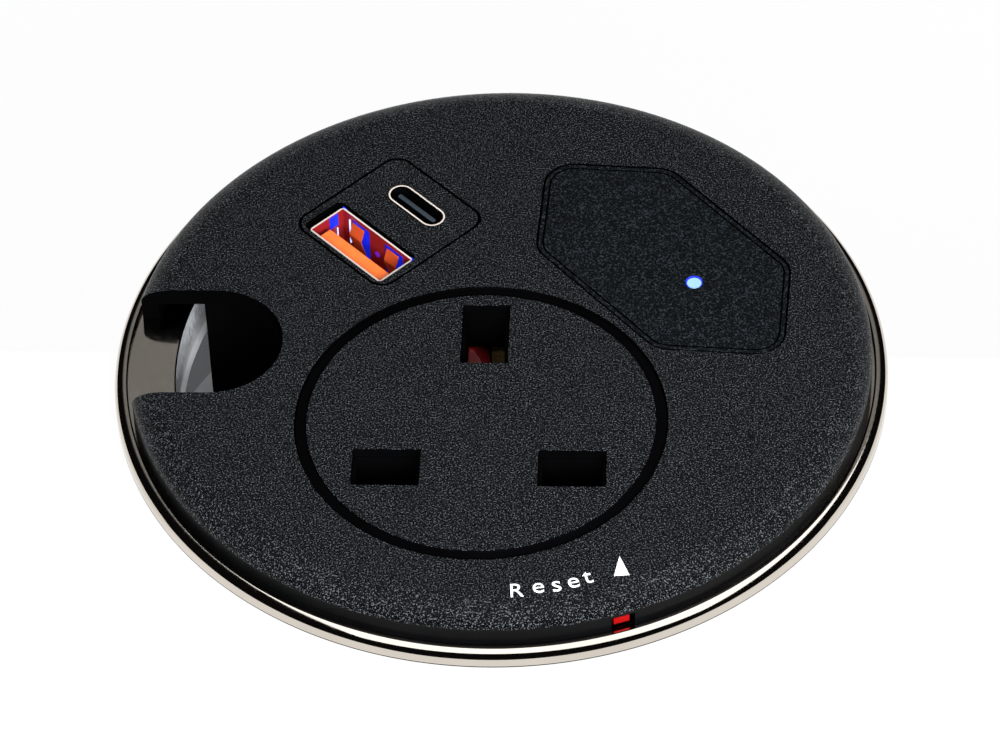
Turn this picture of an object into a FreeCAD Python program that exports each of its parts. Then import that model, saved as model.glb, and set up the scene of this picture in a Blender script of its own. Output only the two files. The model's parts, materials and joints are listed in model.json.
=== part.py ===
import FreeCAD, Part
import math
import os

# In-desk power module: a socket, a USB charger and a cable passage in one round unit
# that drops into a hole in a desk. Millimetres. Z is up. The origin is the middle of the
# hole, on the desk's surface, where the metal ring's flange rests.

os.makedirs("parts", exist_ok=True)
V = FreeCAD.Vector
UP = V(0, 0, 1)
ORIGIN = V(0, 0, 0)

# Clearances between pieces
SLIDE_GAP = 0.3       # beside anything that moves
FIT_GAP = 0.15        # round an insert in its opening
RUN_GAP = 0.08        # radial, for a bore that runs on a shaft
SCREW_GAP = 0.25      # radial, round a screw's shank in a through hole
OVERCUT = 1.0         # how far a cutting tool runs past a face
HOLE_GAP = 0.5        # round the sleeve in the desk's hole
CAP_EDGE_GAP = 0.35   # between the cap's skirt and the ring's bead
TIP_GAP = 0.6         # between a screw's tip and the face above it

# Desk ring
DESK_HOLE_D = 82.0
RING_LAP = 6.4
RING_OD = DESK_HOLE_D + 2 * RING_LAP
SLEEVE_OD = DESK_HOLE_D - 2 * HOLE_GAP
SLEEVE_WALL = 0.6
SLEEVE_DEPTH = 5.5
FLANGE_T = 1.5
BEAD_H = 2.25
BEAD_R = 1.15
BEAD_WIDTH = 1.65
BEAD_LIP_R = 0.25
GASKET_T = 0.6
GASKET_EDGE = 1.0
GASKET_WIDE = 4.5
GASKET_OUT_D = RING_OD - 2 * GASKET_EDGE
GASKET_IN_D = GASKET_OUT_D - 2 * GASKET_WIDE

# Top cap
CAP_D = RING_OD - 2 * (BEAD_WIDTH + CAP_EDGE_GAP)
CAP_TOP_Z = 6.3
CAP_PLATE_T = 2.4
SHOULDER_WIDE = 4.0
SHOULDER_HIGH = 2.0
SKIRT_WALL = 2.0
BOSS_R = 2.6
BOSS_END_Z = -1.0
LED_BOSS_R = 2.0
LUG_R = 3.2
LUG_T = 3.0

# Cable passage, a slot with a round inner end, open at the left
PASSAGE_WIDTH = 17.35
PASSAGE_END_X = -26.5
PASSAGE_Y = -0.82

# Housing under the desk
HOUSING_GAP = 2.2
HOUSING_D = SLEEVE_OD - 2 * (SLEEVE_WALL + HOUSING_GAP)
HOUSING_WALL = 2.0
HOUSING_BOTTOM_Z = -55.0
THREAD_PITCH = 5.0
THREAD_HEIGHT = 0.9
THREAD_ROOT_W = 2.6
THREAD_CREST_W = 1.2
THREAD_TOP_Z = -11.0
THREAD_BOTTOM_Z = -48.0
THREAD_BITE = 0.4
BASE_T = 2.0
SPIGOT_H = 2.5
SPIGOT_WALL = 1.5

# Clamp under the desk
DESK_T = 25.0
WASHER_T = 1.6
WASHER_LAND = 7.0
WASHER_GAP = 0.4
NUT_H = 8.0
NUT_WALL = 5.32
NUT_LOBES = 12
NUT_LOBE_R = 5.0
NUT_LOBE_DEPTH = 2.2
NUT_RIM_H = 1.6

# Three-pin socket
SOCKET_X = -1.8
SOCKET_PIN_Y = -21.48        # line of the two lower pins
SOCKET_PIN_ACROSS = 22.23
SOCKET_PIN_UP = 22.23
LINE_PIN = (6.35, 4.0)
EARTH_PIN = (4.0, 8.0)
LINE_PIN_LENGTH = 17.7
EARTH_PIN_LENGTH = 22.7
SLOT_EASE = 0.4
SLOT_STEP = 0.5
SLOT_STEP_DEEP = 1.25
SHROUD_WALL = 1.1
SHROUD_END_Z = -0.6
DISC_Y = -13.7
DISC_R = 21.05
GROOVE_WIDE = 1.45
GROOVE_DEEP = 0.4
INSERT_LIP = 0.8
INSERT_FLANGE_T = 1.5

# Carrier, shutter and contacts
CARRIER_R = 21.5
CARRIER_WALL = 1.4
CARRIER_FLOOR_T = 1.5
PIN_END_GAP = 1.1
TOWER_WALL = 1.4
SHUTTER_T = 1.7
SHUTTER_REST_GAP = 0.1
SHUTTER_TRAVEL = 6.0
SHUTTER_COVER = 0.6
SHUTTER_LEG_W = 1.6
RAMP_W = 2.4
RAMP_FALL = 6.0
RAMP_THICK = 1.6
RAMP_EDGE = 0.4
CONTACT_T = 0.7
CONTACT_SLACK = 0.05
LINE_GRIP = 5.4
LINE_CONTACT_IN = 0.2
EARTH_GRIP = 6.9
EARTH_CONTACT_IN = 0.3
STRAP_TOP_Z = -1.3
TAIL = (2.4, 0.8)
TAIL_END_Z = -22.5
SPRING_WIRE = 0.3
SHUTTER_SPRING_R = 1.3
SHUTTER_SPRING_TURNS = 9
SHUTTER_SPRING_Z = 0.7
SPRING_POST_Y = -9.2
SPRING_LUG_IN = 1.0
SPRING_POST_W = 2.8
SPRING_POST_T = 1.6

# USB charger, turned by 45 degrees
USB_X = -14.44
USB_Y = 20.28
USB_TURN = -45.0
USB_SIZE = (16.5, 17.8)
USB_CORNER_R = 2.1
USB_CASE_WALL = 0.9
USB_CASE_BOTTOM_Z = -24.0
USB_CASE_GROW = 0.3
USB_CASE_IN_R = 1.5
USB_SKIRT_H = 2.0
USB_SKIRT_WALL = 1.0
USB_A_AT = (0.4, -5.2)
USB_A_SIZE = (13.1, 5.7)
USB_A_WALL = 0.24
USB_A_HOLE_GAP = 0.35
USB_A_HOLE_SIDE_GAP = 0.75
USB_A_HOLE_SHIFT = -0.35
USB_A_SINK = 0.25
USB_A_TONGUE = (11.1, 1.84)
USB_A_TONGUE_SINK = 0.9
USB_A_TONGUE_BACK = 0.5
USB_A_CORNER_R = 0.5
USB_A_HOLE_R = 0.9
USB_A_SKIRT_R = 0.6
USB_A_STRIP = (1.0, 0.2)
USB_A_STRIPS_AT = (-3.5, -1.0, 1.0, 3.5)
USB_A_STRIP_SINK = 0.6
USB_FOOT_H = 2.0
USB_FOOT_GAP = 0.05
USB_C_AT = (0.3, 4.28)
USB_C_SIZE = (8.94, 3.26)
USB_C_WALL = 0.24
USB_C_TONGUE = (6.69, 0.7)
USB_C_TONGUE_SINK = 0.45
USB_PCB_Z = -8.4
USB_PCB_T = 1.2
USB_RIB = 1.0
USB_EAR_AT = 12.2
USB_LEADS_AT = ((5.3, -3.4), (5.5, 2.2))

# What hangs under the charger's circuit board: place, size, height
CORE_AT = (-1.8, 2.2)
CORE = (8.6, 8.6, 9.4)
CORE_LEG = 1.8
WINDING_OUT = 0.6
WINDING_R = 1.0
CANS = ((-3.4, -5.0, 2.3, 9.5), (2.6, -5.2, 2.0, 8.0), (4.9, 4.9, 1.4, 7.0))
DRUM_AT = (4.9, -0.6)
DRUM_R = 1.7
DRUM_NECK_R = 1.2
DRUM_H = 5.0
DRUM_RIM = 1.0

# Six-sided panel with the indicator
PANEL_X = 19.75
PANEL_Y = 14.2
PANEL_TURN = -3.6
PANEL_SIDE = (31.4, 31.3)
PANEL_CUT = 16.0
PANEL_CORNER_R = 3.6
PANEL_T = 1.3
PANEL_GAP = 0.25
PANEL_PEG_R = 1.0
PANEL_PEG_OUT = 0.7
PANEL_PEGS = ((-11.0, 10.0), (2.0, 10.0), (11.0, -10.0))
LIGHT_X = 23.6
LIGHT_Y = 9.9
LIGHT_R = 1.05
LIGHT_FLANGE_R = 1.8
LIGHT_FLANGE_T = 0.8
LED_BOARD = (15.6, 7.0, 1.2)
LED_BOARD_Z = 0.4
LED_BOSS_AT = 5.5
LED_R = 1.5
LED_H = 2.3

# Reset tab and overload breaker, along a radius of the unit
RESET_ANGLE = -69.9
RESET_TRAVEL = 1.8
TAB_W = 2.0
TAB_Z = (2.6, 3.65)
TAB_SINK = 0.1
TAB_SIDE_ROOM = 0.6   # free room beside the tab, on its right
ARM_W = 5.0
ARM_T = 2.5
ARM_GAP = 1.9
ARM_END_Z = -33.0
ARM_ROOM = 2.4
BREAKER_R = (10.5, 24.5)
BREAKER_W = 13.0
BREAKER_Z = (-36.5, -24.5)
NECK_R = 3.4
NECK_LENGTH = 1.5
PLUNGER_R = 1.6
PLUNGER_TAIL_R = 19.0
PLUNGER_HEAD_R = 2.6
PLUNGER_HEAD_T = 1.2
RESET_SPRING_TURNS = 4
RESET_SPRING_GAP = 0.25
BREAKER_EAR = (4.0, 2.0)
BREAKER_EAR_R = 17.5
BREAKER_PILOT_FLOOR = 0.5
BREAKER_TAB = (3.0, 3.2, 0.8)

# Mains inlet in the base
INLET_X = 5.0
INLET_Y = 6.0
INLET_FLANGE = (50.0, 22.5, 2.4)
INLET_FLANGE_CORNER = 3.0
INLET_BODY = (27.4, 19.9)
INLET_TOP_Z = -39.0
INLET_MOUTH = (24.4, 16.9)
INLET_MOUTH_CUT = 4.6
INLET_MOUTH_DEEP = 17.0
INLET_BLADE = (2.0, 4.0)
INLET_BLADE_SINK = 1.5
INLET_BLADES = {"live": (7.0, -2.0), "neutral": (-7.0, -2.0), "earth": (0.0, 2.0)}
INLET_TAB = (0.8, 4.8)
INLET_TAB_END_Z = -33.5
INLET_SCREW_PITCH = 40.0

# Leads inside the housing
LEAD_D = 2.2
THIN_LEAD_D = 1.2
LIVE_JOINT_Z = -21.0
LED_LEAD_UP = 3.0
LED_LEAD_Z = -7.0
LED_LEAD_OUT = 6.0
LED_LEAD_AT = 2.6
LED_LEAD_DROP = 5.7
JOINT_RISE = 1.5
LEAD_STRAIGHT = 0.25

# Free points on the leads' ways, in the order in which each lead passes them
FEED_RISE = 6.0
FEED_WAY = ((7.5, 4.2, -24.3), (3.2, 3.6, -27.3))
FEED_BACK = 6.0
LIVE_BACK = 5.0
LIVE_WAY = ((-3.0, -2.2, -26.5), (-0.5, -6.5, -22.4))
LIVE_TURN_Y = -14.5
NEUTRAL_RISE = 5.5
NEUTRAL_WAY = (-8.5, -2.5, -26.5)
NEUTRAL_TURN = (-13.5, -29.5)
NEUTRAL_UNDER_Z = -28.5
EARTH_RISE = 5.0
EARTH_DROP = 4.4
USB_NEUTRAL_Z = -29.0
USB_NEUTRAL_WAY = (-7.5, 14.0)
USB_NEUTRAL_TURN_Y = 12.0
USB_LIVE_Z = -30.0
USB_LIVE_WAY = (0.0, 18.5)
USB_LIVE_TURN_Y = 13.5
LED_LEAD_WAY = (8.0, 8.5, -8.5)

# Screws: shank radius, head radius, head height
BIG_SCREW = (1.2, 2.3, 1.6)
SMALL_SCREW = (0.9, 1.7, 1.2)
SCREW_PILOT_GAP = 0.05
CAP_SCREWS = ((-29.3, 12.8), (-29.5, -13.5), (29.5, -12.0), (12.0, 29.3))
CARRIER_SCREWS = ((-20.8, 4.0), (23.6, -8.0))
COVER_SCREW_IN = 2.7
COVER_SCREW_ANGLES = (50, 140, -140, -50)
COVER_BOSS_R = 3.0
COVER_BOSS_H = 9.0
COVER_SCREW_SHORT = 2.0

# Worked out from the sizes above
CAP_R = CAP_D / 2
RING_R = RING_OD / 2
HOUSING_R = HOUSING_D / 2
HOUSING_IN_R = HOUSING_R - HOUSING_WALL
COVER_SCREW_R = HOUSING_IN_R - COVER_SCREW_IN
PASSAGE_R = PASSAGE_WIDTH / 2
PASSAGE_X = PASSAGE_END_X - PASSAGE_R
CAP_UNDER_Z = CAP_TOP_Z - CAP_PLATE_T
TAB_OUT_R = CAP_R - TAB_SINK
ARM_R = (HOUSING_IN_R - ARM_GAP - ARM_T, HOUSING_IN_R - ARM_GAP)
ARM_SLOT_R = ARM_R[0] - ARM_ROOM
PANEL_PEG_END_Z = CAP_UNDER_Z - PANEL_PEG_OUT
GROOVE_R = DISC_R + GROOVE_WIDE
INSERT_FLANGE_R = GROOVE_R + INSERT_LIP
CARRIER_FLOOR_Z = CAP_TOP_Z - EARTH_PIN_LENGTH - PIN_END_GAP - CARRIER_FLOOR_T
CONTACT_TOP_Z = CAP_TOP_Z - LINE_PIN_LENGTH + LINE_GRIP
EARTH_CONTACT_TOP_Z = CAP_TOP_Z - EARTH_PIN_LENGTH + EARTH_GRIP
THREAD_CREST_R = HOUSING_R + THREAD_HEIGHT
WASHER_IN_R = THREAD_CREST_R + WASHER_GAP
WASHER_R = WASHER_IN_R + WASHER_LAND
NUT_IN_R = THREAD_CREST_R + RUN_GAP
NUT_R = NUT_IN_R + NUT_WALL
EARTH_Y = SOCKET_PIN_Y + SOCKET_PIN_UP
LIVE_X = SOCKET_X + SOCKET_PIN_ACROSS / 2
NEUTRAL_X = SOCKET_X - SOCKET_PIN_ACROSS / 2
SHUTTER_TOP_Z = SHROUD_END_Z - SLIDE_GAP
SHUTTER_UNDER_Z = SHUTTER_TOP_Z - SHUTTER_T
TOWER_TOP_Z = SHUTTER_UNDER_Z - SHUTTER_REST_GAP
INSERT_UNDER_Z = CAP_UNDER_Z - INSERT_FLANGE_T
BASE_Z = HOUSING_BOTTOM_Z - BASE_T
LUG_UNDER_Z = BOSS_END_Z - LUG_T
CONTACT_BOTTOM_Z = CARRIER_FLOOR_Z + CARRIER_FLOOR_T


def cyl(x, y, r, z0, z1):
    return Part.makeCylinder(r, z1 - z0, V(x, y, z0))


def box(x0, x1, y0, y1, z0, z1):
    return Part.makeBox(x1 - x0, y1 - y0, z1 - z0, V(x0, y0, z0))


def block(x, y, size, z0, z1):
    """A box of plan size (along x, along y) centred on x, y."""
    return box(x - size[0] / 2, x + size[0] / 2, y - size[1] / 2, y + size[1] / 2, z0, z1)


def prism(points, z0, z1):
    wire = Part.makePolygon([V(x, y, z0) for x, y in points + points[:1]])
    return Part.Face(wire).extrude(UP * (z1 - z0))


def stadium(x, y, size, z0, z1):
    """A block whose two ends along x are half-round."""
    r = size[1] / 2
    reach = size[0] / 2 - r
    middle = block(x, y, (2 * reach, size[1]), z0, z1)
    return joined(middle, cyl(x - reach, y, r, z0, z1), cyl(x + reach, y, r, z0, z1))


def rounded(solid, r):
    """Rounds the upright edges of a prism."""
    upright = [e for e in solid.Edges
               if abs(e.tangentAt(e.FirstParameter).z) > 0.99]
    return solid.makeFillet(r, upright)


def along_x(x0, x1, y, z, r):
    return Part.makeCylinder(r, x1 - x0, V(x0, y, z), V(1, 0, 0))


def turn(shape, angle):
    return shape.rotated(ORIGIN, UP, angle)


def joined(*shapes):
    return shapes[0].multiFuse(list(shapes[1:])).removeSplitter()


def revolved(edges):
    """Turns a closed profile in the XZ plane once round Z."""
    return Part.Face(Part.Wire(edges)).revolve(ORIGIN, UP, 360)


def outline(points):
    vectors = [V(r, 0, z) for r, z in points]
    return [Part.LineSegment(a, b).toShape() for a, b in zip(vectors, vectors[1:])]


def screw(x, y, head_z, tip_z, sizes):
    """A pan-head screw driven upwards, head under head_z, with a cross recess."""
    shank_r, head_r, head_h = sizes
    shank = cyl(x, y, shank_r, head_z, tip_z)
    head = cyl(x, y, head_r, head_z - head_h, head_z)
    low_edge = [e for e in head.Edges if abs(e.CenterOfMass.z - head_z + head_h) < 0.001]
    head = head.makeFillet(head_h * 0.4, low_edge)
    low = head_z - head_h
    for slot in ((head_r * 1.2, head_r * 0.28), (head_r * 0.28, head_r * 1.2)):
        head = head.cut(block(x, y, slot, low - OVERCUT, low + head_h * 0.5))
    return joined(shank, head)


def coil(r, wire_r, turns, length, start, direction):
    """A coil spring whose wire lies inside the given length, built along direction."""
    rise = length - 2 * wire_r
    helix = Part.makeLongHelix(rise / turns, rise, r)
    section = Part.Wire(Part.makeCircle(wire_r, V(r, 0, 0), V(0, 1, 0)))
    spring = Part.Wire(helix).makePipeShell([section], True, True)
    spring.translate(V(0, 0, wire_r))
    spring.Placement = FreeCAD.Placement(start, FreeCAD.Rotation(UP, direction)).multiply(
        spring.Placement)
    return spring


def save(name, shape):
    """Writes one node, and says how many solids it has and how large they are."""
    sound = shape.isValid() and all(s.Volume > 0 for s in shape.Solids)
    print(f"{name:18s} solids {len(shape.Solids):2d}  volume {shape.Volume:9.1f}",
          "" if sound else "NOT SOUND")
    if len(shape.Solids) == 1:
        shape = shape.Solids[0]
    shape.exportStep(f"parts/{name}.step")


def passage(grow, z0, z1):
    """The cable passage's plan as a solid, grown on every side."""
    r = PASSAGE_R + grow
    reach = RING_R + OVERCUT
    slot = box(-reach, PASSAGE_X, PASSAGE_Y - r, PASSAGE_Y + r, z0, z1)
    return joined(slot, cyl(PASSAGE_X, PASSAGE_Y, r, z0, z1))


def desk_ring():
    top_r = RING_R - BEAD_R
    in_r = RING_R - BEAD_WIDTH
    corner = math.sqrt(0.5)
    bead_z = BEAD_H - BEAD_R
    lip_r = in_r + BEAD_LIP_R
    lip_z = BEAD_H - BEAD_LIP_R
    sleeve_r = SLEEVE_OD / 2
    edges = outline([(RING_R, 0), (RING_R, bead_z)])
    edges.append(Part.Arc(V(RING_R, 0, bead_z),
                          V(top_r + BEAD_R * corner, 0, bead_z + BEAD_R * corner),
                          V(top_r, 0, BEAD_H)).toShape())
    edges += outline([(top_r, BEAD_H), (lip_r, BEAD_H)])
    edges.append(Part.Arc(V(lip_r, 0, BEAD_H),
                          V(lip_r - BEAD_LIP_R * corner, 0, lip_z + BEAD_LIP_R * corner),
                          V(in_r, 0, lip_z)).toShape())
    edges += outline([(in_r, lip_z), (in_r, FLANGE_T), (sleeve_r - SLEEVE_WALL, FLANGE_T),
                      (sleeve_r - SLEEVE_WALL, -SLEEVE_DEPTH), (sleeve_r, -SLEEVE_DEPTH),
                      (sleeve_r, 0), (GASKET_IN_D / 2, 0), (GASKET_IN_D / 2, GASKET_T),
                      (GASKET_OUT_D / 2, GASKET_T), (GASKET_OUT_D / 2, 0), (RING_R, 0)])
    return revolved(edges)


def ring_gasket():
    outer = cyl(0, 0, GASKET_OUT_D / 2, 0, GASKET_T)
    return outer.cut(cyl(0, 0, GASKET_IN_D / 2, -OVERCUT, GASKET_T + OVERCUT))


def panel_outline(grow, z0, z1):
    """The six-sided panel's plan: a square with two opposite corners cut away."""
    a = PANEL_SIDE[0] / 2 + grow
    b = PANEL_SIDE[1] / 2 + grow
    cut = PANEL_CUT + grow * (2 - math.sqrt(2))
    points = [(-a, b), (-a, -b + cut), (-a + cut, -b), (a, -b), (a, b - cut), (a - cut, b)]
    shape = rounded(prism(points, z0, z1), PANEL_CORNER_R + grow)
    shape = turn(shape, PANEL_TURN)
    shape.translate(V(PANEL_X, PANEL_Y, 0))
    return shape


def panel_pegs(r, z0, z1):
    pegs = []
    for x, y in PANEL_PEGS:
        peg = turn(cyl(x, y, r, z0, z1), PANEL_TURN)
        peg.translate(V(PANEL_X, PANEL_Y, 0))
        pegs.append(peg)
    return pegs


def in_usb_place(shape):
    """Moves a shape from the charger's own frame to its place in the unit."""
    placed = turn(shape, USB_TURN)
    placed.translate(V(USB_X, USB_Y, 0))
    return placed


def usb_ears():
    """Plan places of the charger's two screws."""
    angle = math.radians(USB_TURN + 90)
    return [(USB_X + s * USB_EAR_AT * math.cos(angle), USB_Y + s * USB_EAR_AT * math.sin(angle))
            for s in (-1, 1)]


def usb_plan(grow, z0, z1):
    size = (USB_SIZE[0] + 2 * grow, USB_SIZE[1] + 2 * grow)
    return rounded(block(0, 0, size, z0, z1), USB_CORNER_R + grow)


def led_bosses():
    return [(LIGHT_X - LED_BOSS_AT, LIGHT_Y), (LIGHT_X + LED_BOSS_AT, LIGHT_Y)]


def along_reset(shape):
    """Turns a shape built along X onto the reset tab's radius."""
    return turn(shape, RESET_ANGLE)


def top_cap():
    shoulder_r = CAP_R - SHOULDER_WIDE
    shoulder_z = CAP_TOP_Z - SHOULDER_HIGH
    arc = Part.Ellipse(V(CAP_R, 0, shoulder_z), V(shoulder_r, 0, CAP_TOP_Z),
                       V(shoulder_r, 0, shoulder_z))
    skirt_in = CAP_R - SKIRT_WALL
    edges = outline([(0, CAP_UNDER_Z), (skirt_in, CAP_UNDER_Z), (skirt_in, FLANGE_T),
                     (CAP_R, FLANGE_T), (CAP_R, shoulder_z)])
    edges.append(Part.ArcOfEllipse(arc, 0, math.pi / 2).toShape())
    edges += outline([(shoulder_r, CAP_TOP_Z), (0, CAP_TOP_Z), (0, CAP_UNDER_Z)])
    cap = revolved(edges)
    over = CAP_TOP_Z + OVERCUT
    under = CAP_UNDER_Z - OVERCUT
    cuts = [
        passage(0, FLANGE_T - OVERCUT, over),
        cyl(SOCKET_X, DISC_Y, GROOVE_R, under, over),
        in_usb_place(usb_plan(FIT_GAP, under, over)),
        panel_outline(PANEL_GAP, CAP_TOP_Z - PANEL_T, over),
        cyl(LIGHT_X, LIGHT_Y, LIGHT_R + RUN_GAP, under, over),
        along_reset(box(skirt_in - OVERCUT, CAP_R + OVERCUT, -TAB_W / 2 - SLIDE_GAP,
                        TAB_W / 2 + TAB_SIDE_ROOM, FLANGE_T - OVERCUT, CAP_UNDER_Z)),
    ]
    cuts += panel_pegs(PANEL_PEG_R + RUN_GAP, under, over)
    cap = cap.cut(cuts)
    small_places = [(p, LED_BOARD_Z) for p in led_bosses()]
    places = [(p, BOSS_END_Z) for p in list(CAP_SCREWS) + list(CARRIER_SCREWS) + usb_ears()]
    big_pilot = BIG_SCREW[0] + SCREW_PILOT_GAP
    small_pilot = SMALL_SCREW[0] + SCREW_PILOT_GAP
    inside = cyl(0, 0, HOUSING_IN_R - FIT_GAP, BOSS_END_Z, CAP_UNDER_Z)
    bosses, pilots = [], []
    for (x, y), end_z in places:
        bosses.append(cyl(x, y, BOSS_R, end_z, CAP_UNDER_Z).common(inside))
        pilots.append(cyl(x, y, big_pilot, end_z - OVERCUT, CAP_UNDER_Z))
    for (x, y), end_z in small_places:
        bosses.append(cyl(x, y, LED_BOSS_R, end_z, CAP_UNDER_Z))
        pilots.append(cyl(x, y, small_pilot, end_z - OVERCUT, CAP_UNDER_Z))
    return joined(cap, *bosses).cut(pilots)


def thread():
    """A right-handed ridge wound on the housing, cut later where the passage is."""
    bite_r = HOUSING_R - THREAD_BITE
    height = THREAD_TOP_Z - THREAD_BOTTOM_Z
    helix = Part.makeHelix(THREAD_PITCH, height, HOUSING_R)
    root, crest = THREAD_ROOT_W / 2, THREAD_CREST_W / 2
    corners = [V(bite_r, 0, -root), V(THREAD_CREST_R, 0, -crest),
               V(THREAD_CREST_R, 0, crest), V(bite_r, 0, root)]
    section = Part.makePolygon(corners + corners[:1])
    ridge = Part.Wire(helix).makePipeShell([section], True, True)
    ridge.translate(V(0, 0, THREAD_BOTTOM_Z))
    return ridge


def cover_screw_places():
    return [(COVER_SCREW_R * math.cos(math.radians(a)), COVER_SCREW_R * math.sin(math.radians(a)))
            for a in COVER_SCREW_ANGLES]


def housing():
    low, high = HOUSING_BOTTOM_Z, CAP_UNDER_Z
    outer = cyl(0, 0, HOUSING_R, low, high)
    outer = joined(outer, thread()).cut(passage(0, low - OVERCUT, high + OVERCUT))
    inner = cyl(0, 0, HOUSING_IN_R, low - OVERCUT, high + OVERCUT)
    inner = inner.cut(passage(HOUSING_WALL, low - 2 * OVERCUT, high + 2 * OVERCUT))
    shell = outer.cut(inner)
    inside = cyl(0, 0, HOUSING_R - HOUSING_WALL / 2, low, high)
    inside = inside.cut(passage(HOUSING_WALL / 2, low - OVERCUT, high + OVERCUT))
    extras, holes = [], []
    for x, y in CAP_SCREWS:
        r = math.hypot(x, y)
        angle = math.degrees(math.atan2(y, x))
        web = turn(box(r, HOUSING_R, -LUG_R, LUG_R, LUG_UNDER_Z, BOSS_END_Z), angle)
        lug = joined(cyl(x, y, LUG_R, LUG_UNDER_Z, BOSS_END_Z), web)
        extras.append(lug.common(inside))
        holes.append(cyl(x, y, BIG_SCREW[0] + SCREW_GAP, LUG_UNDER_Z - OVERCUT, BOSS_END_Z + OVERCUT))
    for x, y in cover_screw_places():
        extras.append(cyl(x, y, COVER_BOSS_R, low, low + COVER_BOSS_H).common(inside))
        holes.append(cyl(x, y, BIG_SCREW[0] + SCREW_PILOT_GAP, low - OVERCUT,
                         low + COVER_BOSS_H - OVERCUT))
    holes.append(along_reset(box(HOUSING_IN_R - OVERCUT, HOUSING_R + OVERCUT,
                                 -TAB_W / 2 - SLIDE_GAP, TAB_W / 2 + SLIDE_GAP,
                                 TAB_Z[0] - SLIDE_GAP, high + OVERCUT)))
    return joined(shell, *extras).cut(holes)


def base_cover():
    plate = cyl(0, 0, HOUSING_R, BASE_Z, HOUSING_BOTTOM_Z)
    plate = plate.cut(passage(0, BASE_Z - OVERCUT, HOUSING_BOTTOM_Z + OVERCUT))
    z0, z1 = HOUSING_BOTTOM_Z, HOUSING_BOTTOM_Z + SPIGOT_H
    spigot_r = HOUSING_IN_R - FIT_GAP
    spigot = cyl(0, 0, spigot_r, z0, z1)
    spigot = spigot.cut(passage(HOUSING_WALL + FIT_GAP, z0 - OVERCUT, z1 + OVERCUT))
    core = cyl(0, 0, spigot_r - SPIGOT_WALL, z0 - OVERCUT, z1 + OVERCUT)
    core = core.cut(passage(HOUSING_WALL + FIT_GAP + SPIGOT_WALL, z0 - 2 * OVERCUT,
                            z1 + 2 * OVERCUT))
    spigot = spigot.cut(core)
    spigot = spigot.cut([cyl(x, y, COVER_BOSS_R + FIT_GAP, z0 - OVERCUT, z1 + OVERCUT)
                         for x, y in cover_screw_places()])
    cover = joined(plate, spigot)
    hole = BIG_SCREW[0] + SCREW_GAP
    holes = [cyl(x, y, hole, BASE_Z - OVERCUT, z1) for x, y in cover_screw_places()]
    holes.append(block(INLET_X, INLET_Y, (INLET_BODY[0] + 2 * FIT_GAP, INLET_BODY[1] + 2 * FIT_GAP),
                       BASE_Z - OVERCUT, z1 + OVERCUT))
    holes += [cyl(x, y, SMALL_SCREW[0] + SCREW_PILOT_GAP, BASE_Z - OVERCUT, z1 + OVERCUT)
              for x, y in inlet_screw_places()]
    return cover.cut(holes)


def inlet_screw_places():
    return [(INLET_X + s * INLET_SCREW_PITCH / 2, INLET_Y) for s in (-1, 1)]


def inlet_mouth(z0, z1):
    a, b = INLET_MOUTH[0] / 2, INLET_MOUTH[1] / 2
    cut = INLET_MOUTH_CUT
    points = [(-a, -b), (a, -b), (a, b - cut), (a - cut, b), (-a + cut, b), (-a, b - cut)]
    return prism([(INLET_X + x, INLET_Y + y) for x, y in points], z0, z1)


def inlet_body():
    face_z = BASE_Z - INLET_FLANGE[2]
    flange = rounded(block(INLET_X, INLET_Y, INLET_FLANGE[:2], face_z, BASE_Z),
                     INLET_FLANGE_CORNER)
    body = joined(flange, block(INLET_X, INLET_Y, INLET_BODY, BASE_Z, INLET_TOP_Z))
    cuts = [inlet_mouth(face_z - OVERCUT, face_z + INLET_MOUTH_DEEP)]
    cuts += [cyl(x, y, SMALL_SCREW[0] + SCREW_GAP, face_z - OVERCUT, BASE_Z + OVERCUT)
             for x, y in inlet_screw_places()]
    cuts += [block(INLET_X + x, INLET_Y + y, INLET_BLADE, face_z, INLET_TOP_Z + OVERCUT)
             for x, y in INLET_BLADES.values()]
    return body.cut(cuts)


def inlet_pins():
    tip_z = BASE_Z - INLET_FLANGE[2] + INLET_BLADE_SINK
    pins = []
    for x, y in INLET_BLADES.values():
        blade = block(INLET_X + x, INLET_Y + y, INLET_BLADE, tip_z, INLET_TOP_Z)
        tab = block(INLET_X + x, INLET_Y + y, INLET_TAB, INLET_TOP_Z, INLET_TAB_END_Z)
        pins.append(joined(blade, tab))
    return Part.makeCompound(pins)


def slots(size, grow, z0, z1):
    return [block(x, y, (s[0] + 2 * grow, s[1] + 2 * grow), z0, z1) for x, y, s in size]


PIN_PLACES = ((LIVE_X, SOCKET_PIN_Y, LINE_PIN), (NEUTRAL_X, SOCKET_PIN_Y, LINE_PIN),
              (SOCKET_X, EARTH_Y, EARTH_PIN))


def arm_room(z0, z1):
    """The space that the reset tab's arm needs, as a solid."""
    half = ARM_W / 2 + SLIDE_GAP
    return along_reset(box(ARM_SLOT_R, CAP_R, -half, half, z0, z1))


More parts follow.
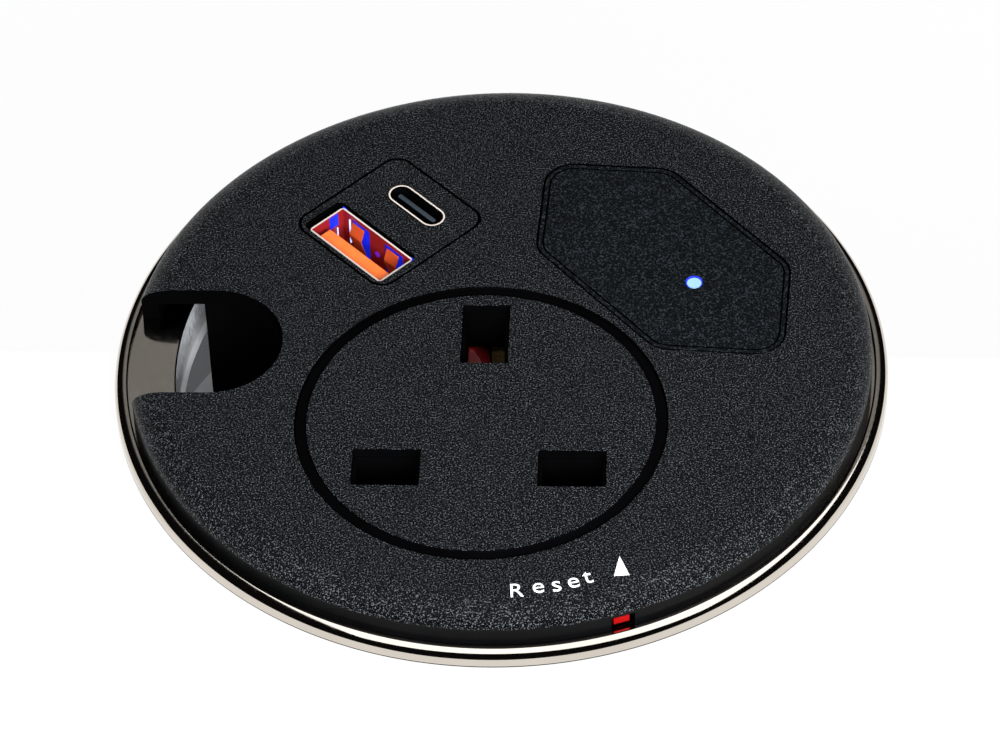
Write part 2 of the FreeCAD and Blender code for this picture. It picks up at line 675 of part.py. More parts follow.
def socket_insert():
    step_z = CAP_TOP_Z - GROOVE_DEEP
    disc = cyl(SOCKET_X, DISC_Y, DISC_R, step_z, CAP_TOP_Z)
    plug = cyl(SOCKET_X, DISC_Y, GROOVE_R - FIT_GAP, CAP_UNDER_Z, step_z)
    flange = cyl(SOCKET_X, DISC_Y, INSERT_FLANGE_R, INSERT_UNDER_Z, CAP_UNDER_Z)
    flange = flange.common(cyl(0, 0, HOUSING_IN_R - SLIDE_GAP, INSERT_UNDER_Z, CAP_UNDER_Z))
    flange = flange.cut(arm_room(INSERT_UNDER_Z - OVERCUT, CAP_UNDER_Z))
    wall = SLOT_EASE + SHROUD_WALL
    shrouds = slots(PIN_PLACES, wall, SHROUD_END_Z, INSERT_UNDER_Z)
    insert = joined(disc, plug, flange, *shrouds)
    cuts = slots(PIN_PLACES, SLOT_EASE, SHROUD_END_Z - OVERCUT, CAP_TOP_Z + OVERCUT)
    cuts += slots(PIN_PLACES, SLOT_EASE + SLOT_STEP, CAP_TOP_Z - SLOT_STEP_DEEP,
                  CAP_TOP_Z + OVERCUT)
    return insert.cut(cuts)


def tower_size(pin):
    """Inside plan size of the chamber round a contact."""
    return (pin[0] + 2 * (CONTACT_T + 2 * SLIDE_GAP), pin[1] + 2 * (CONTACT_T + 2 * SLIDE_GAP))


def socket_carrier():
    low, high = CARRIER_FLOOR_Z, INSERT_UNDER_Z
    floor_top = low + CARRIER_FLOOR_T
    limit_r = HOUSING_IN_R - SLIDE_GAP
    outer = cyl(SOCKET_X, DISC_Y, CARRIER_R, low, high).common(cyl(0, 0, limit_r, low, high))
    inner = cyl(SOCKET_X, DISC_Y, CARRIER_R - CARRIER_WALL, floor_top, high + OVERCUT)
    inner = inner.common(cyl(0, 0, limit_r - CARRIER_WALL, floor_top, high + OVERCUT))
    cup = outer.cut(inner)
    towers, cuts = [], []
    for x, y, pin in PIN_PLACES:
        inside = tower_size(pin)
        wall = (inside[0] + 2 * TOWER_WALL, inside[1] + 2 * TOWER_WALL)
        towers.append(block(x, y, wall, floor_top, TOWER_TOP_Z))
        cuts.append(block(x, y, inside, floor_top, TOWER_TOP_Z + OVERCUT))
    post_y0 = SPRING_POST_Y
    towers.append(box(SOCKET_X - SPRING_POST_W / 2, SOCKET_X + SPRING_POST_W / 2, post_y0,
                      post_y0 + SPRING_POST_T, floor_top, SHUTTER_SPRING_Z + SPRING_POST_W / 2))
    for x, y in CARRIER_SCREWS:
        lug = cyl(x, y, BOSS_R, LUG_UNDER_Z, BOSS_END_Z)
        reach = math.hypot(x - SOCKET_X, y - DISC_Y)
        angle = math.degrees(math.atan2(y - DISC_Y, x - SOCKET_X))
        arm = turn(box(CARRIER_R - CARRIER_WALL, reach, -BOSS_R, BOSS_R, LUG_UNDER_Z, BOSS_END_Z),
                   angle)
        arm.translate(V(SOCKET_X, DISC_Y, 0))
        towers.append(joined(lug, arm))
        cuts.append(cyl(x, y, BIG_SCREW[0] + SCREW_GAP, LUG_UNDER_Z - OVERCUT,
                        BOSS_END_Z + OVERCUT))
    for s in (-1, 1):
        y = s * (BREAKER_W / 2 + BREAKER_EAR[0] / 2)
        post = block(BREAKER_EAR_R, y, (BREAKER_EAR[0], BREAKER_EAR[0]), BREAKER_Z[1], floor_top)
        towers.append(along_reset(post))
        pilot = cyl(BREAKER_EAR_R, y, SMALL_SCREW[0] + SCREW_PILOT_GAP,
                    BREAKER_Z[1] - OVERCUT, floor_top - BREAKER_PILOT_FLOOR)
        cuts.append(along_reset(pilot))
    for x, y, _ in PIN_PLACES:
        cuts.append(block(x, tail_y(y), (TAIL[0] + 2 * FIT_GAP, TAIL[1] + 2 * FIT_GAP),
                          low - OVERCUT, floor_top + OVERCUT))
    ramp_x = ramp_left_x()
    reach_y = EARTH_Y + EARTH_PIN[1] / 2 + SLIDE_GAP + RAMP_THICK + SHUTTER_TRAVEL + SLIDE_GAP
    cuts.append(box(ramp_x - SLIDE_GAP, ramp_x + RAMP_W + SLIDE_GAP, EARTH_Y, reach_y,
                    SHUTTER_TOP_Z - RAMP_FALL - RAMP_THICK - SLIDE_GAP, SHUTTER_TOP_Z + SLIDE_GAP))
    cuts.append(box(ramp_x - SHUTTER_LEG_W - SLIDE_GAP, ramp_x, EARTH_Y, reach_y, TOWER_TOP_Z,
                    SHUTTER_TOP_Z + SLIDE_GAP))
    cuts.append(arm_room(low - OVERCUT, high + OVERCUT))
    cuts += slots(PIN_PLACES, SLOT_EASE + SHROUD_WALL + FIT_GAP, SHROUD_END_Z - FIT_GAP,
                  high + OVERCUT)
    return joined(cup, *towers).cut(cuts)


def tail_y(pin_y):
    """Where a contact's tail goes down through the carrier's floor."""
    if pin_y == EARTH_Y:
        return EARTH_Y + EARTH_PIN[1] / 2 + SLIDE_GAP + CONTACT_T / 2
    return pin_y


def line_contact(x):
    """Two tines that grip a pin's wide faces, on a base with a tail."""
    half = LINE_PIN[1] / 2 + CONTACT_SLACK
    width = LINE_PIN[0] - 2 * LINE_CONTACT_IN
    tines = []
    for s in (-1, 1):
        y = SOCKET_PIN_Y + s * (half + CONTACT_T / 2)
        tines.append(block(x, y, (width, CONTACT_T), CONTACT_BOTTOM_Z, CONTACT_TOP_Z))
    base = block(x, SOCKET_PIN_Y, (width, 2 * (half + CONTACT_T)), CONTACT_BOTTOM_Z,
                 CONTACT_BOTTOM_Z + CONTACT_T)
    tail = block(x, SOCKET_PIN_Y, TAIL, TAIL_END_Z, CONTACT_BOTTOM_Z + CONTACT_T)
    return joined(base, tail, *tines)


def earth_contact():
    """Two tines on the earth pin's flat sides, and a strap that stands up behind it."""
    half = EARTH_PIN[0] / 2 + CONTACT_SLACK
    length = EARTH_PIN[1] - 2 * EARTH_CONTACT_IN
    tines = []
    for s in (-1, 1):
        x = SOCKET_X + s * (half + CONTACT_T / 2)
        tines.append(block(x, EARTH_Y, (CONTACT_T, length), CONTACT_BOTTOM_Z, EARTH_CONTACT_TOP_Z))
    y = tail_y(EARTH_Y)
    base = box(SOCKET_X - half - CONTACT_T, SOCKET_X + half + CONTACT_T, EARTH_Y - length / 2,
               y + CONTACT_T / 2, CONTACT_BOTTOM_Z, CONTACT_BOTTOM_Z + CONTACT_T)
    strap_x = ramp_left_x() + RAMP_W + SLIDE_GAP
    strap = box(strap_x, SOCKET_X + half + CONTACT_T, y - CONTACT_T / 2, y + CONTACT_T / 2,
                CONTACT_BOTTOM_Z, STRAP_TOP_Z)
    tail = block(SOCKET_X, y, TAIL, TAIL_END_Z, CONTACT_BOTTOM_Z + CONTACT_T)
    return joined(base, strap, tail, *tines)


def ramp_left_x():
    return SOCKET_X - EARTH_PIN[0] / 2 - SLIDE_GAP


def shutter():
    """Covers the line slots. The earth pin pushes the ramp and slides it towards +Y."""
    top, under = SHUTTER_TOP_Z, SHUTTER_UNDER_Z
    bar_half = LINE_PIN[1] / 2 + SHUTTER_COVER
    bar_end = SOCKET_PIN_ACROSS / 2 + LINE_PIN[0] / 2 + SHUTTER_COVER
    bar = box(SOCKET_X - bar_end, SOCKET_X + bar_end, SOCKET_PIN_Y - bar_half,
              SOCKET_PIN_Y + bar_half, under, top)
    ramp_x = ramp_left_x()
    far_y = EARTH_Y + EARTH_PIN[1] / 2 + SLIDE_GAP
    leg = box(ramp_x - SHUTTER_LEG_W, ramp_x, SOCKET_PIN_Y + bar_half, far_y + RAMP_THICK,
              under, top)
    low = top - RAMP_FALL
    profile = [V(ramp_x, far_y + RAMP_THICK, top), V(ramp_x, far_y, top),
               V(ramp_x, far_y - RAMP_FALL, low), V(ramp_x, far_y - RAMP_FALL, low - RAMP_THICK),
               V(ramp_x, far_y + RAMP_THICK, low - RAMP_THICK + RAMP_FALL - RAMP_THICK)]
    ramp = Part.Face(Part.makePolygon(profile + profile[:1])).extrude(V(RAMP_W, 0, 0))
    ramp = ramp.cut(ramp_corner(ramp_x, far_y, top))
    lug_y = SOCKET_PIN_Y - bar_half + SPRING_LUG_IN
    lug = box(SOCKET_X - SPRING_POST_W / 2, SOCKET_X + SPRING_POST_W / 2, lug_y,
              lug_y + SPRING_POST_T, top, SHUTTER_SPRING_Z + SPRING_POST_W / 2)
    return joined(bar, leg, ramp, lug)


def ramp_corner(ramp_x, far_y, top):
    """The corner taken off the ramp, so that its top falls to the right as well."""
    x0, x1 = ramp_x + RAMP_EDGE, ramp_x + RAMP_W + OVERCUT
    y0, y1 = far_y - 2 * RAMP_FALL, far_y + 2 * RAMP_THICK
    points = [V(x0, y0, top), V(x1, y0, top), V(x1, y0, top - x1 + x0), V(x0, y0, top)]
    return Part.Face(Part.makePolygon(points)).extrude(V(0, y1 - y0, 0))


def shutter_spring():
    lug_y = SOCKET_PIN_Y - LINE_PIN[1] / 2 - SHUTTER_COVER + SPRING_LUG_IN
    lug_face = lug_y + SPRING_POST_T
    length = SPRING_POST_Y - lug_face
    return coil(SHUTTER_SPRING_R, SPRING_WIRE / 2, SHUTTER_SPRING_TURNS, length,
                V(SOCKET_X, lug_face, SHUTTER_SPRING_Z), V(0, 1, 0))


def usb_insert():
    plate = usb_plan(0, CAP_UNDER_Z, CAP_TOP_Z)
    inside = USB_CASE_WALL + FIT_GAP - USB_CASE_GROW
    skirt_z = CAP_UNDER_Z - USB_SKIRT_H
    skirt = usb_plan(-inside, skirt_z, CAP_UNDER_Z)
    core = block(0, 0, [s - 2 * (inside + USB_SKIRT_WALL) for s in USB_SIZE], skirt_z - OVERCUT,
                 CAP_UNDER_Z)
    insert = joined(plate, skirt.cut(core))
    x, y = USB_A_AT
    a_size = (USB_A_SIZE[0] + 2 * USB_A_HOLE_SIDE_GAP, USB_A_SIZE[1] + 2 * USB_A_HOLE_GAP)
    a_cut = rounded(block(x + USB_A_HOLE_SHIFT, y, a_size, CAP_UNDER_Z, CAP_TOP_Z + OVERCUT),
                    USB_A_HOLE_R)
    a_low = [s + 2 * USB_A_HOLE_GAP for s in USB_A_SIZE]
    a_low_cut = rounded(block(x, y, a_low, skirt_z - OVERCUT, CAP_TOP_Z), USB_A_SKIRT_R)
    c_cut = usb_c_plan(FIT_GAP, skirt_z - OVERCUT, CAP_TOP_Z + OVERCUT)
    return in_usb_place(insert.cut([a_cut, a_low_cut, c_cut]))


def usb_c_plan(grow, z0, z1):
    size = [s + 2 * grow for s in USB_C_SIZE]
    return stadium(*USB_C_AT, size, z0, z1)


def usb_a_shell():
    z0, z1 = USB_PCB_Z, CAP_TOP_Z - USB_A_SINK
    outer = rounded(block(*USB_A_AT, USB_A_SIZE, z0, z1), USB_A_CORNER_R)
    inner = [s - 2 * USB_A_WALL for s in USB_A_SIZE]
    return in_usb_place(outer.cut(block(*USB_A_AT, inner, z0 + USB_A_WALL, z1 + OVERCUT)))


def usb_a_tongue_face():
    back = USB_A_AT[1] - USB_A_SIZE[1] / 2 + USB_A_WALL
    return back + USB_A_TONGUE_BACK + USB_A_TONGUE[1]


def usb_a_tongue():
    """The plastic tongue near the shell's outer wall, on a foot that fills the bottom."""
    z0, z1 = USB_PCB_Z + USB_A_WALL, CAP_TOP_Z - USB_A_SINK - USB_A_TONGUE_SINK
    foot_size = [s - 2 * (USB_A_WALL + USB_FOOT_GAP) for s in USB_A_SIZE]
    foot = block(*USB_A_AT, foot_size, z0, z0 + USB_FOOT_H)
    tongue_y = usb_a_tongue_face() - USB_A_TONGUE[1] / 2
    tongue = block(USB_A_AT[0], tongue_y, USB_A_TONGUE, z0, z1)
    return in_usb_place(joined(foot, tongue))


def usb_a_contacts():
    y = usb_a_tongue_face() + USB_A_STRIP[1] / 2
    z0 = USB_PCB_Z + USB_A_WALL + USB_FOOT_H
    z1 = CAP_TOP_Z - USB_A_SINK - USB_A_TONGUE_SINK - USB_A_STRIP_SINK
    strips = [in_usb_place(block(USB_A_AT[0] + place, y, USB_A_STRIP, z0, z1))
              for place in USB_A_STRIPS_AT]
    return Part.makeCompound(strips)


def usb_c_shell():
    z0, z1 = USB_PCB_Z, CAP_TOP_Z
    inner = [s - 2 * USB_C_WALL for s in USB_C_SIZE]
    hollow = stadium(*USB_C_AT, inner, z0 + USB_C_WALL, z1 + OVERCUT)
    return in_usb_place(usb_c_plan(0, z0, z1).cut(hollow))


def usb_c_tongue():
    z0, z1 = USB_PCB_Z + USB_C_WALL, CAP_TOP_Z - USB_C_TONGUE_SINK
    inner = [s - 2 * (USB_C_WALL + USB_FOOT_GAP) for s in USB_C_SIZE]
    foot = stadium(*USB_C_AT, inner, z0, z0 + USB_FOOT_H)
    return in_usb_place(joined(foot, block(*USB_C_AT, USB_C_TONGUE, z0, z1)))


def usb_case():
    """A cup with two screw ears and four ribs that the circuit board rests on."""
    low, high = USB_CASE_BOTTOM_Z, CAP_UNDER_Z
    outer = usb_plan(USB_CASE_GROW, low, high)
    inner_size = [s + 2 * (USB_CASE_GROW - USB_CASE_WALL) for s in USB_SIZE]
    inner = rounded(block(0, 0, inner_size, low + USB_CASE_WALL, high + OVERCUT), USB_CASE_IN_R)
    a, b = inner_size[0] / 2, inner_size[1] / 2
    rib_top = USB_PCB_Z - USB_PCB_T
    ribs = [block(sx * (a - USB_RIB / 2), sy * (b - USB_RIB / 2), (USB_RIB, USB_RIB),
                  low + USB_CASE_WALL, rib_top) for sx in (-1, 1) for sy in (-1, 1)]
    ears, holes = [], []
    reach = USB_SIZE[1] / 2 + USB_CASE_GROW - USB_CASE_WALL
    for s in (-1, 1):
        y0, y1 = sorted((s * reach, s * USB_EAR_AT))
        ear = joined(cyl(0, s * USB_EAR_AT, BOSS_R, LUG_UNDER_Z, BOSS_END_Z),
                     box(-BOSS_R, BOSS_R, y0, y1, LUG_UNDER_Z, BOSS_END_Z))
        ears.append(ear.cut(inner))
        holes.append(cyl(0, s * USB_EAR_AT, BIG_SCREW[0] + SCREW_GAP, LUG_UNDER_Z - OVERCUT,
                         BOSS_END_Z + OVERCUT))
    holes += [cyl(x, y, THIN_LEAD_D / 2 + FIT_GAP, low - OVERCUT, low + 2 * USB_CASE_WALL)
              for x, y in USB_LEADS_AT]
    case = in_usb_place(joined(outer.cut(inner), *(ribs + ears)).cut(holes))
    return case.common(cyl(0, 0, HOUSING_IN_R - FIT_GAP, low, high))


def usb_pcb():
    size = [s + 2 * (USB_CASE_GROW - USB_CASE_WALL - FIT_GAP) for s in USB_SIZE]
    return in_usb_place(rounded(block(0, 0, size, USB_PCB_Z - USB_PCB_T, USB_PCB_Z),
                                USB_CASE_IN_R))


def usb_transformer():
    """A core with a window, and the winding that fills the window and stands out of it."""
    top = USB_PCB_Z - USB_PCB_T
    z0, z1 = top - CORE[2] + CORE_LEG, top - CORE_LEG
    core = block(*CORE_AT, CORE[:2], top - CORE[2], top)
    window_x = CORE[0] - 2 * (CORE_LEG - USB_RIB / 2)
    window = block(*CORE_AT, (window_x, CORE[1] + 2 * OVERCUT), z0, z1)
    winding = block(*CORE_AT, (window_x, CORE[1] + 2 * WINDING_OUT), z0, z1)
    return in_usb_place(joined(core.cut(window), rounded(winding, WINDING_R)))


def usb_capacitors():
    top = USB_PCB_Z - USB_PCB_T
    cans = [cyl(x, y, r, top - h, top) for x, y, r, h in CANS]
    return in_usb_place(Part.makeCompound(cans))


def usb_inductor():
    top = USB_PCB_Z - USB_PCB_T
    low = top - DRUM_H
    drum = joined(cyl(*DRUM_AT, DRUM_R, top - DRUM_RIM, top),
                  cyl(*DRUM_AT, DRUM_NECK_R, low + DRUM_RIM, top - DRUM_RIM),
                  cyl(*DRUM_AT, DRUM_R, low, low + DRUM_RIM))
    return in_usb_place(drum)


def indicator_panel():
    plate = panel_outline(0, CAP_TOP_Z - PANEL_T, CAP_TOP_Z)
    pegs = panel_pegs(PANEL_PEG_R, PANEL_PEG_END_Z, CAP_TOP_Z - PANEL_T)
    hole = cyl(LIGHT_X, LIGHT_Y, LIGHT_R + RUN_GAP, CAP_UNDER_Z, CAP_TOP_Z + OVERCUT)
    return joined(plate, *pegs).cut(hole)


def light_pipe():
    low = CAP_UNDER_Z - LIGHT_FLANGE_T
    pipe = cyl(LIGHT_X, LIGHT_Y, LIGHT_R, low, CAP_TOP_Z)
    return joined(pipe, cyl(LIGHT_X, LIGHT_Y, LIGHT_FLANGE_R, low, CAP_UNDER_Z))


def led_board():
    board = block(LIGHT_X, LIGHT_Y, LED_BOARD[:2], LED_BOARD_Z - LED_BOARD[2], LED_BOARD_Z)
    return board.cut([cyl(x, y, SMALL_SCREW[0] + SCREW_GAP, LED_BOARD_Z - LED_BOARD[2] - OVERCUT,
                          LED_BOARD_Z + OVERCUT) for x, y in led_bosses()])


def led():
    body = cyl(LIGHT_X, LIGHT_Y, LED_R, LED_BOARD_Z, LED_BOARD_Z + LED_H - LED_R)
    dome = Part.makeSphere(LED_R, V(LIGHT_X, LIGHT_Y, LED_BOARD_Z + LED_H - LED_R))
    dome = dome.common(cyl(LIGHT_X, LIGHT_Y, LED_R * 2, LED_BOARD_Z, LED_BOARD_Z + LED_H))
    return joined(body, dome)


def reset_slider():
    tab = box(ARM_R[0], TAB_OUT_R, -TAB_W / 2, TAB_W / 2, *TAB_Z)
    arm = box(*ARM_R, -ARM_W / 2, ARM_W / 2, ARM_END_Z, TAB_Z[1])
    return along_reset(joined(tab, arm))


def plunger_z():
    return (BREAKER_Z[0] + BREAKER_Z[1]) / 2


def breaker_plunger():
    z = plunger_z()
    head_out = ARM_R[0] - SLIDE_GAP
    shaft = along_x(PLUNGER_TAIL_R, head_out, 0, z, PLUNGER_R)
    head = along_x(head_out - PLUNGER_HEAD_T, head_out, 0, z, PLUNGER_HEAD_R)
    return along_reset(joined(shaft, head))


def reset_spring():
    start = BREAKER_R[1] + NECK_LENGTH
    length = ARM_R[0] - SLIDE_GAP - PLUNGER_HEAD_T - start
    axis = FreeCAD.Rotation(UP, RESET_ANGLE).multVec(V(1, 0, 0))
    r = PLUNGER_R + SPRING_WIRE / 2 + RESET_SPRING_GAP
    return coil(r, SPRING_WIRE / 2, RESET_SPRING_TURNS, length,
                V(axis.x * start, axis.y * start, plunger_z()), axis)


def breaker_case():
    z = plunger_z()
    case = box(*BREAKER_R, -BREAKER_W / 2, BREAKER_W / 2, *BREAKER_Z)
    neck = along_x(BREAKER_R[1], BREAKER_R[1] + NECK_LENGTH, 0, z, NECK_R)
    ears, holes = [], []
    for s in (-1, 1):
        y = s * (BREAKER_W / 2 + BREAKER_EAR[0] / 2)
        ears.append(block(BREAKER_EAR_R, y, (BREAKER_EAR[0], BREAKER_EAR[0]),
                          BREAKER_Z[1] - BREAKER_EAR[1], BREAKER_Z[1]))
        holes.append(cyl(BREAKER_EAR_R, y, SMALL_SCREW[0] + SCREW_GAP, BREAKER_Z[0],
                         BREAKER_Z[1] + OVERCUT))
    holes.append(along_x(PLUNGER_TAIL_R - RESET_TRAVEL - SLIDE_GAP, ARM_R[0], 0, z,
                         PLUNGER_R + RUN_GAP))
    return along_reset(joined(case, neck, *ears).cut(holes))


def breaker_terminals():
    """Two tabs on the breaker's inner end."""
    tabs = []
    for s in (-1, 1):
        y = s * BREAKER_W / 4
        tab = box(BREAKER_R[0] - BREAKER_TAB[0], BREAKER_R[0], y - BREAKER_TAB[1] / 2,
                  y + BREAKER_TAB[1] / 2, plunger_z() - BREAKER_TAB[2] / 2,
                  plunger_z() + BREAKER_TAB[2] / 2)
        tabs.append(along_reset(tab))
    return Part.makeCompound(tabs)


def clamp_washer():
    top = -DESK_T
    ring = cyl(0, 0, WASHER_R, top - WASHER_T, top)
    return ring.cut(cyl(0, 0, WASHER_IN_R, top - WASHER_T - OVERCUT, top + OVERCUT))


def clamp_nut():
    """A ring nut that runs on the housing's thread, with finger grips round its rim."""
    top = -DESK_T - WASHER_T
    low = top - NUT_H
    flange = cyl(0, 0, NUT_R, top - NUT_RIM_H, top)
    body = cyl(0, 0, NUT_R, low, top - NUT_RIM_H)
    grip_r = NUT_R + NUT_LOBE_R - NUT_LOBE_DEPTH
    grips = []
    for i in range(NUT_LOBES):
        angle = 2 * math.pi * i / NUT_LOBES
        grips.append(cyl(grip_r * math.cos(angle), grip_r * math.sin(angle), NUT_LOBE_R,
                         low - OVERCUT, top - NUT_RIM_H))
    bore = cyl(0, 0, NUT_IN_R, low - OVERCUT, top + OVERCUT)
    return joined(flange, body.cut(grips)).cut(bore)


def lead(points, name, diameter=LEAD_D):
    """A lead: straight runs joined by tangent arcs as large as the runs allow."""
    vectors = [V(*p) for p in points]
    edges, start = [], vectors[0]
    for i in range(1, len(vectors) - 1):
        before, corner, after = vectors[i - 1], vectors[i], vectors[i + 1]
        to_start = (before - corner)
        to_end = (after - corner)
        bend = math.pi - to_start.getAngle(to_end)
        shorter = min(to_start.Length, to_end.Length)
        back = shorter / 2 - LEAD_STRAIGHT
        radius = back / math.tan(bend / 2)
        to_start.normalize()
        to_end.normalize()
        first, last = corner + to_start * back, corner + to_end * back
        middle_way = (to_start + to_end)
        middle_way.normalize()
        to_middle = radius / math.cos(bend / 2) - radius
        edges.append(Part.LineSegment(start, first).toShape())
        edges.append(Part.Arc(first, corner + middle_way * to_middle, last).toShape())
        print(f"{name:18s} arc radius {radius:5.2f}")
        start = last
    edges.append(Part.LineSegment(start, vectors[-1]).toShape())
    path = Part.Wire(edges)
    way = vectors[1] - vectors[0]
    section = Part.Wire(Part.makeCircle(diameter / 2, vectors[0], way))
    tube = path.makePipeShell([section], True, False)
    print(f"{name:18s} volume over section times length "
          f"{tube.Volume / (math.pi * diameter ** 2 / 4 * path.Length):.4f}")
    return tube


def inlet_tab(name):
    x, y = INLET_BLADES[name]
    return INLET_X + x, INLET_Y + y


def breaker_tab(side, back):
    """A point on a breaker tab's line, back from the tab's end."""
    spot = V(BREAKER_R[0] - BREAKER_TAB[0] - back, side * BREAKER_W / 4, plunger_z())
    return tuple(FreeCAD.Rotation(UP, RESET_ANGLE).multVec(spot))


def usb_lead_place(index):
    spot = FreeCAD.Rotation(UP, USB_TURN).multVec(V(*USB_LEADS_AT[index], 0))
    return USB_X + spot.x, USB_Y + spot.y


def all_leads():
    """Leads that the housing holds all the way, from the inlet to what they feed."""
    x, y = inlet_tab("live")
    top = INLET_TAB_END_Z
    save("live_feed_lead", lead(
        [(x, y, top), (x, y, top + FEED_RISE), *FEED_WAY, breaker_tab(1, FEED_BACK),
         breaker_tab(1, 0)], "live_feed_lead"))
    tail_face = SOCKET_PIN_Y + TAIL[1] / 2
    save("live_lead", lead(
        [breaker_tab(-1, 0), breaker_tab(-1, LIVE_BACK), *LIVE_WAY,
         (LIVE_X, LIVE_TURN_Y, LIVE_JOINT_Z), (LIVE_X, tail_face, LIVE_JOINT_Z)], "live_lead"))
    x, y = inlet_tab("neutral")
    save("neutral_lead", lead(
        [(x, y, top), (x, y, top + NEUTRAL_RISE), NEUTRAL_WAY, (NEUTRAL_X, *NEUTRAL_TURN),
         (NEUTRAL_X, SOCKET_PIN_Y, NEUTRAL_UNDER_Z), (NEUTRAL_X, SOCKET_PIN_Y, TAIL_END_Z)],
        "neutral_lead"))
    x, y = inlet_tab("earth")
    tail = tail_y(EARTH_Y)
    save("earth_lead", lead(
        [(x, y, top), (x, y, top + EARTH_RISE), (SOCKET_X, tail, TAIL_END_Z - EARTH_DROP),
         (SOCKET_X, tail, TAIL_END_Z)], "earth_lead"))
    tab_face = INLET_TAB[1] / 2
    joint_z = top + JOINT_RISE
    pcb_z = USB_PCB_Z - USB_PCB_T
    x0, y0 = usb_lead_place(0)
    x, y = inlet_tab("neutral")
    first = lead([(x0, y0, pcb_z), (x0, y0, USB_NEUTRAL_Z), (*USB_NEUTRAL_WAY, joint_z),
                  (x, USB_NEUTRAL_TURN_Y, joint_z), (x, y + tab_face, joint_z)],
                 "usb_supply_leads", THIN_LEAD_D)
    x0, y0 = usb_lead_place(1)
    x, y = inlet_tab("live")
    second = lead([(x0, y0, pcb_z), (x0, y0, USB_LIVE_Z), (*USB_LIVE_WAY, top),
                   (x, USB_LIVE_TURN_Y, joint_z), (x, y + tab_face, joint_z)],
                  "usb_supply_leads", THIN_LEAD_D)
    save("usb_supply_leads", Part.makeCompound([first, second]))
    wall = USB_SIZE[0] / 2 + USB_CASE_GROW
    turned = FreeCAD.Rotation(UP, USB_TURN)
    end = turned.multVec(V(wall, LED_LEAD_UP, LED_LEAD_Z)) + V(USB_X, USB_Y, 0)
    before = turned.multVec(V(wall + LED_LEAD_OUT, LED_LEAD_UP, LED_LEAD_Z)) + V(USB_X, USB_Y, 0)
    under = LED_BOARD_Z - LED_BOARD[2]
    x = LIGHT_X - LED_LEAD_AT
    save("led_lead", lead([(x, LIGHT_Y, under), (x, LIGHT_Y, under - LED_LEAD_DROP), LED_LEAD_WAY,
                           tuple(before), tuple(end)], "led_lead", THIN_LEAD_D))


def all_screws():
    cap_tip = CAP_UNDER_Z - TIP_GAP
    save("cap_screws", Part.makeCompound(
        [screw(x, y, LUG_UNDER_Z, cap_tip, BIG_SCREW) for x, y in CAP_SCREWS]))
    save("carrier_screws", Part.makeCompound(
        [screw(x, y, LUG_UNDER_Z, cap_tip, BIG_SCREW) for x, y in CARRIER_SCREWS]))
    save("usb_screws", Part.makeCompound(
        [screw(x, y, LUG_UNDER_Z, cap_tip, BIG_SCREW) for x, y in usb_ears()]))
    save("led_screws", Part.makeCompound(
        [screw(x, y, LED_BOARD_Z - LED_BOARD[2], cap_tip, SMALL_SCREW) for x, y in led_bosses()]))
    ear_z = BREAKER_Z[1] - BREAKER_EAR[1]
    breaker = [along_reset(screw(BREAKER_EAR_R, s * (BREAKER_W / 2 + BREAKER_EAR[0] / 2), ear_z,
                                 CARRIER_FLOOR_Z, SMALL_SCREW)) for s in (-1, 1)]
    save("breaker_screws", Part.makeCompound(breaker))
    save("cover_screws", Part.makeCompound(
        [screw(x, y, BASE_Z, HOUSING_BOTTOM_Z + COVER_BOSS_H - COVER_SCREW_SHORT, BIG_SCREW)
         for x, y in cover_screw_places()]))
    save("inlet_screws", Part.makeCompound(
        [screw(x, y, BASE_Z - INLET_FLANGE[2], HOUSING_BOTTOM_Z, SMALL_SCREW)
         for x, y in inlet_screw_places()]))


save("desk_ring", desk_ring())
save("ring_gasket", ring_gasket())
save("top_cap", top_cap())
save("housing", housing())
save("base_cover", base_cover())
save("inlet_body", inlet_body())
save("inlet_pins", inlet_pins())
save("socket_insert", socket_insert())
save("socket_carrier", socket_carrier())
save("live_contact", line_contact(LIVE_X))
save("neutral_contact", line_contact(NEUTRAL_X))
save("earth_contact", earth_contact())
save("shutter", shutter())
save("shutter_spring", shutter_spring())
save("usb_insert", usb_insert())
save("usb_a_shell", usb_a_shell())
save("usb_a_tongue", usb_a_tongue())
save("usb_a_contacts", usb_a_contacts())
save("usb_c_shell", usb_c_shell())
save("usb_c_tongue", usb_c_tongue())
save("usb_case", usb_case())
save("usb_pcb", usb_pcb())
save("usb_transformer", usb_transformer())
save("usb_capacitors", usb_capacitors())
save("usb_inductor", usb_inductor())
save("indicator_panel", indicator_panel())
save("light_pipe", light_pipe())
save("led_board", led_board())
save("led", led())
save("reset_slider", reset_slider())
save("reset_spring", reset_spring())
save("breaker_plunger", breaker_plunger())
save("breaker_case", breaker_case())
save("breaker_terminals", breaker_terminals())
save("clamp_washer", clamp_washer())
save("clamp_nut", clamp_nut())
all_leads()
all_screws()
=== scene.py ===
import json
import math

import bpy
from mathutils import Matrix, Vector


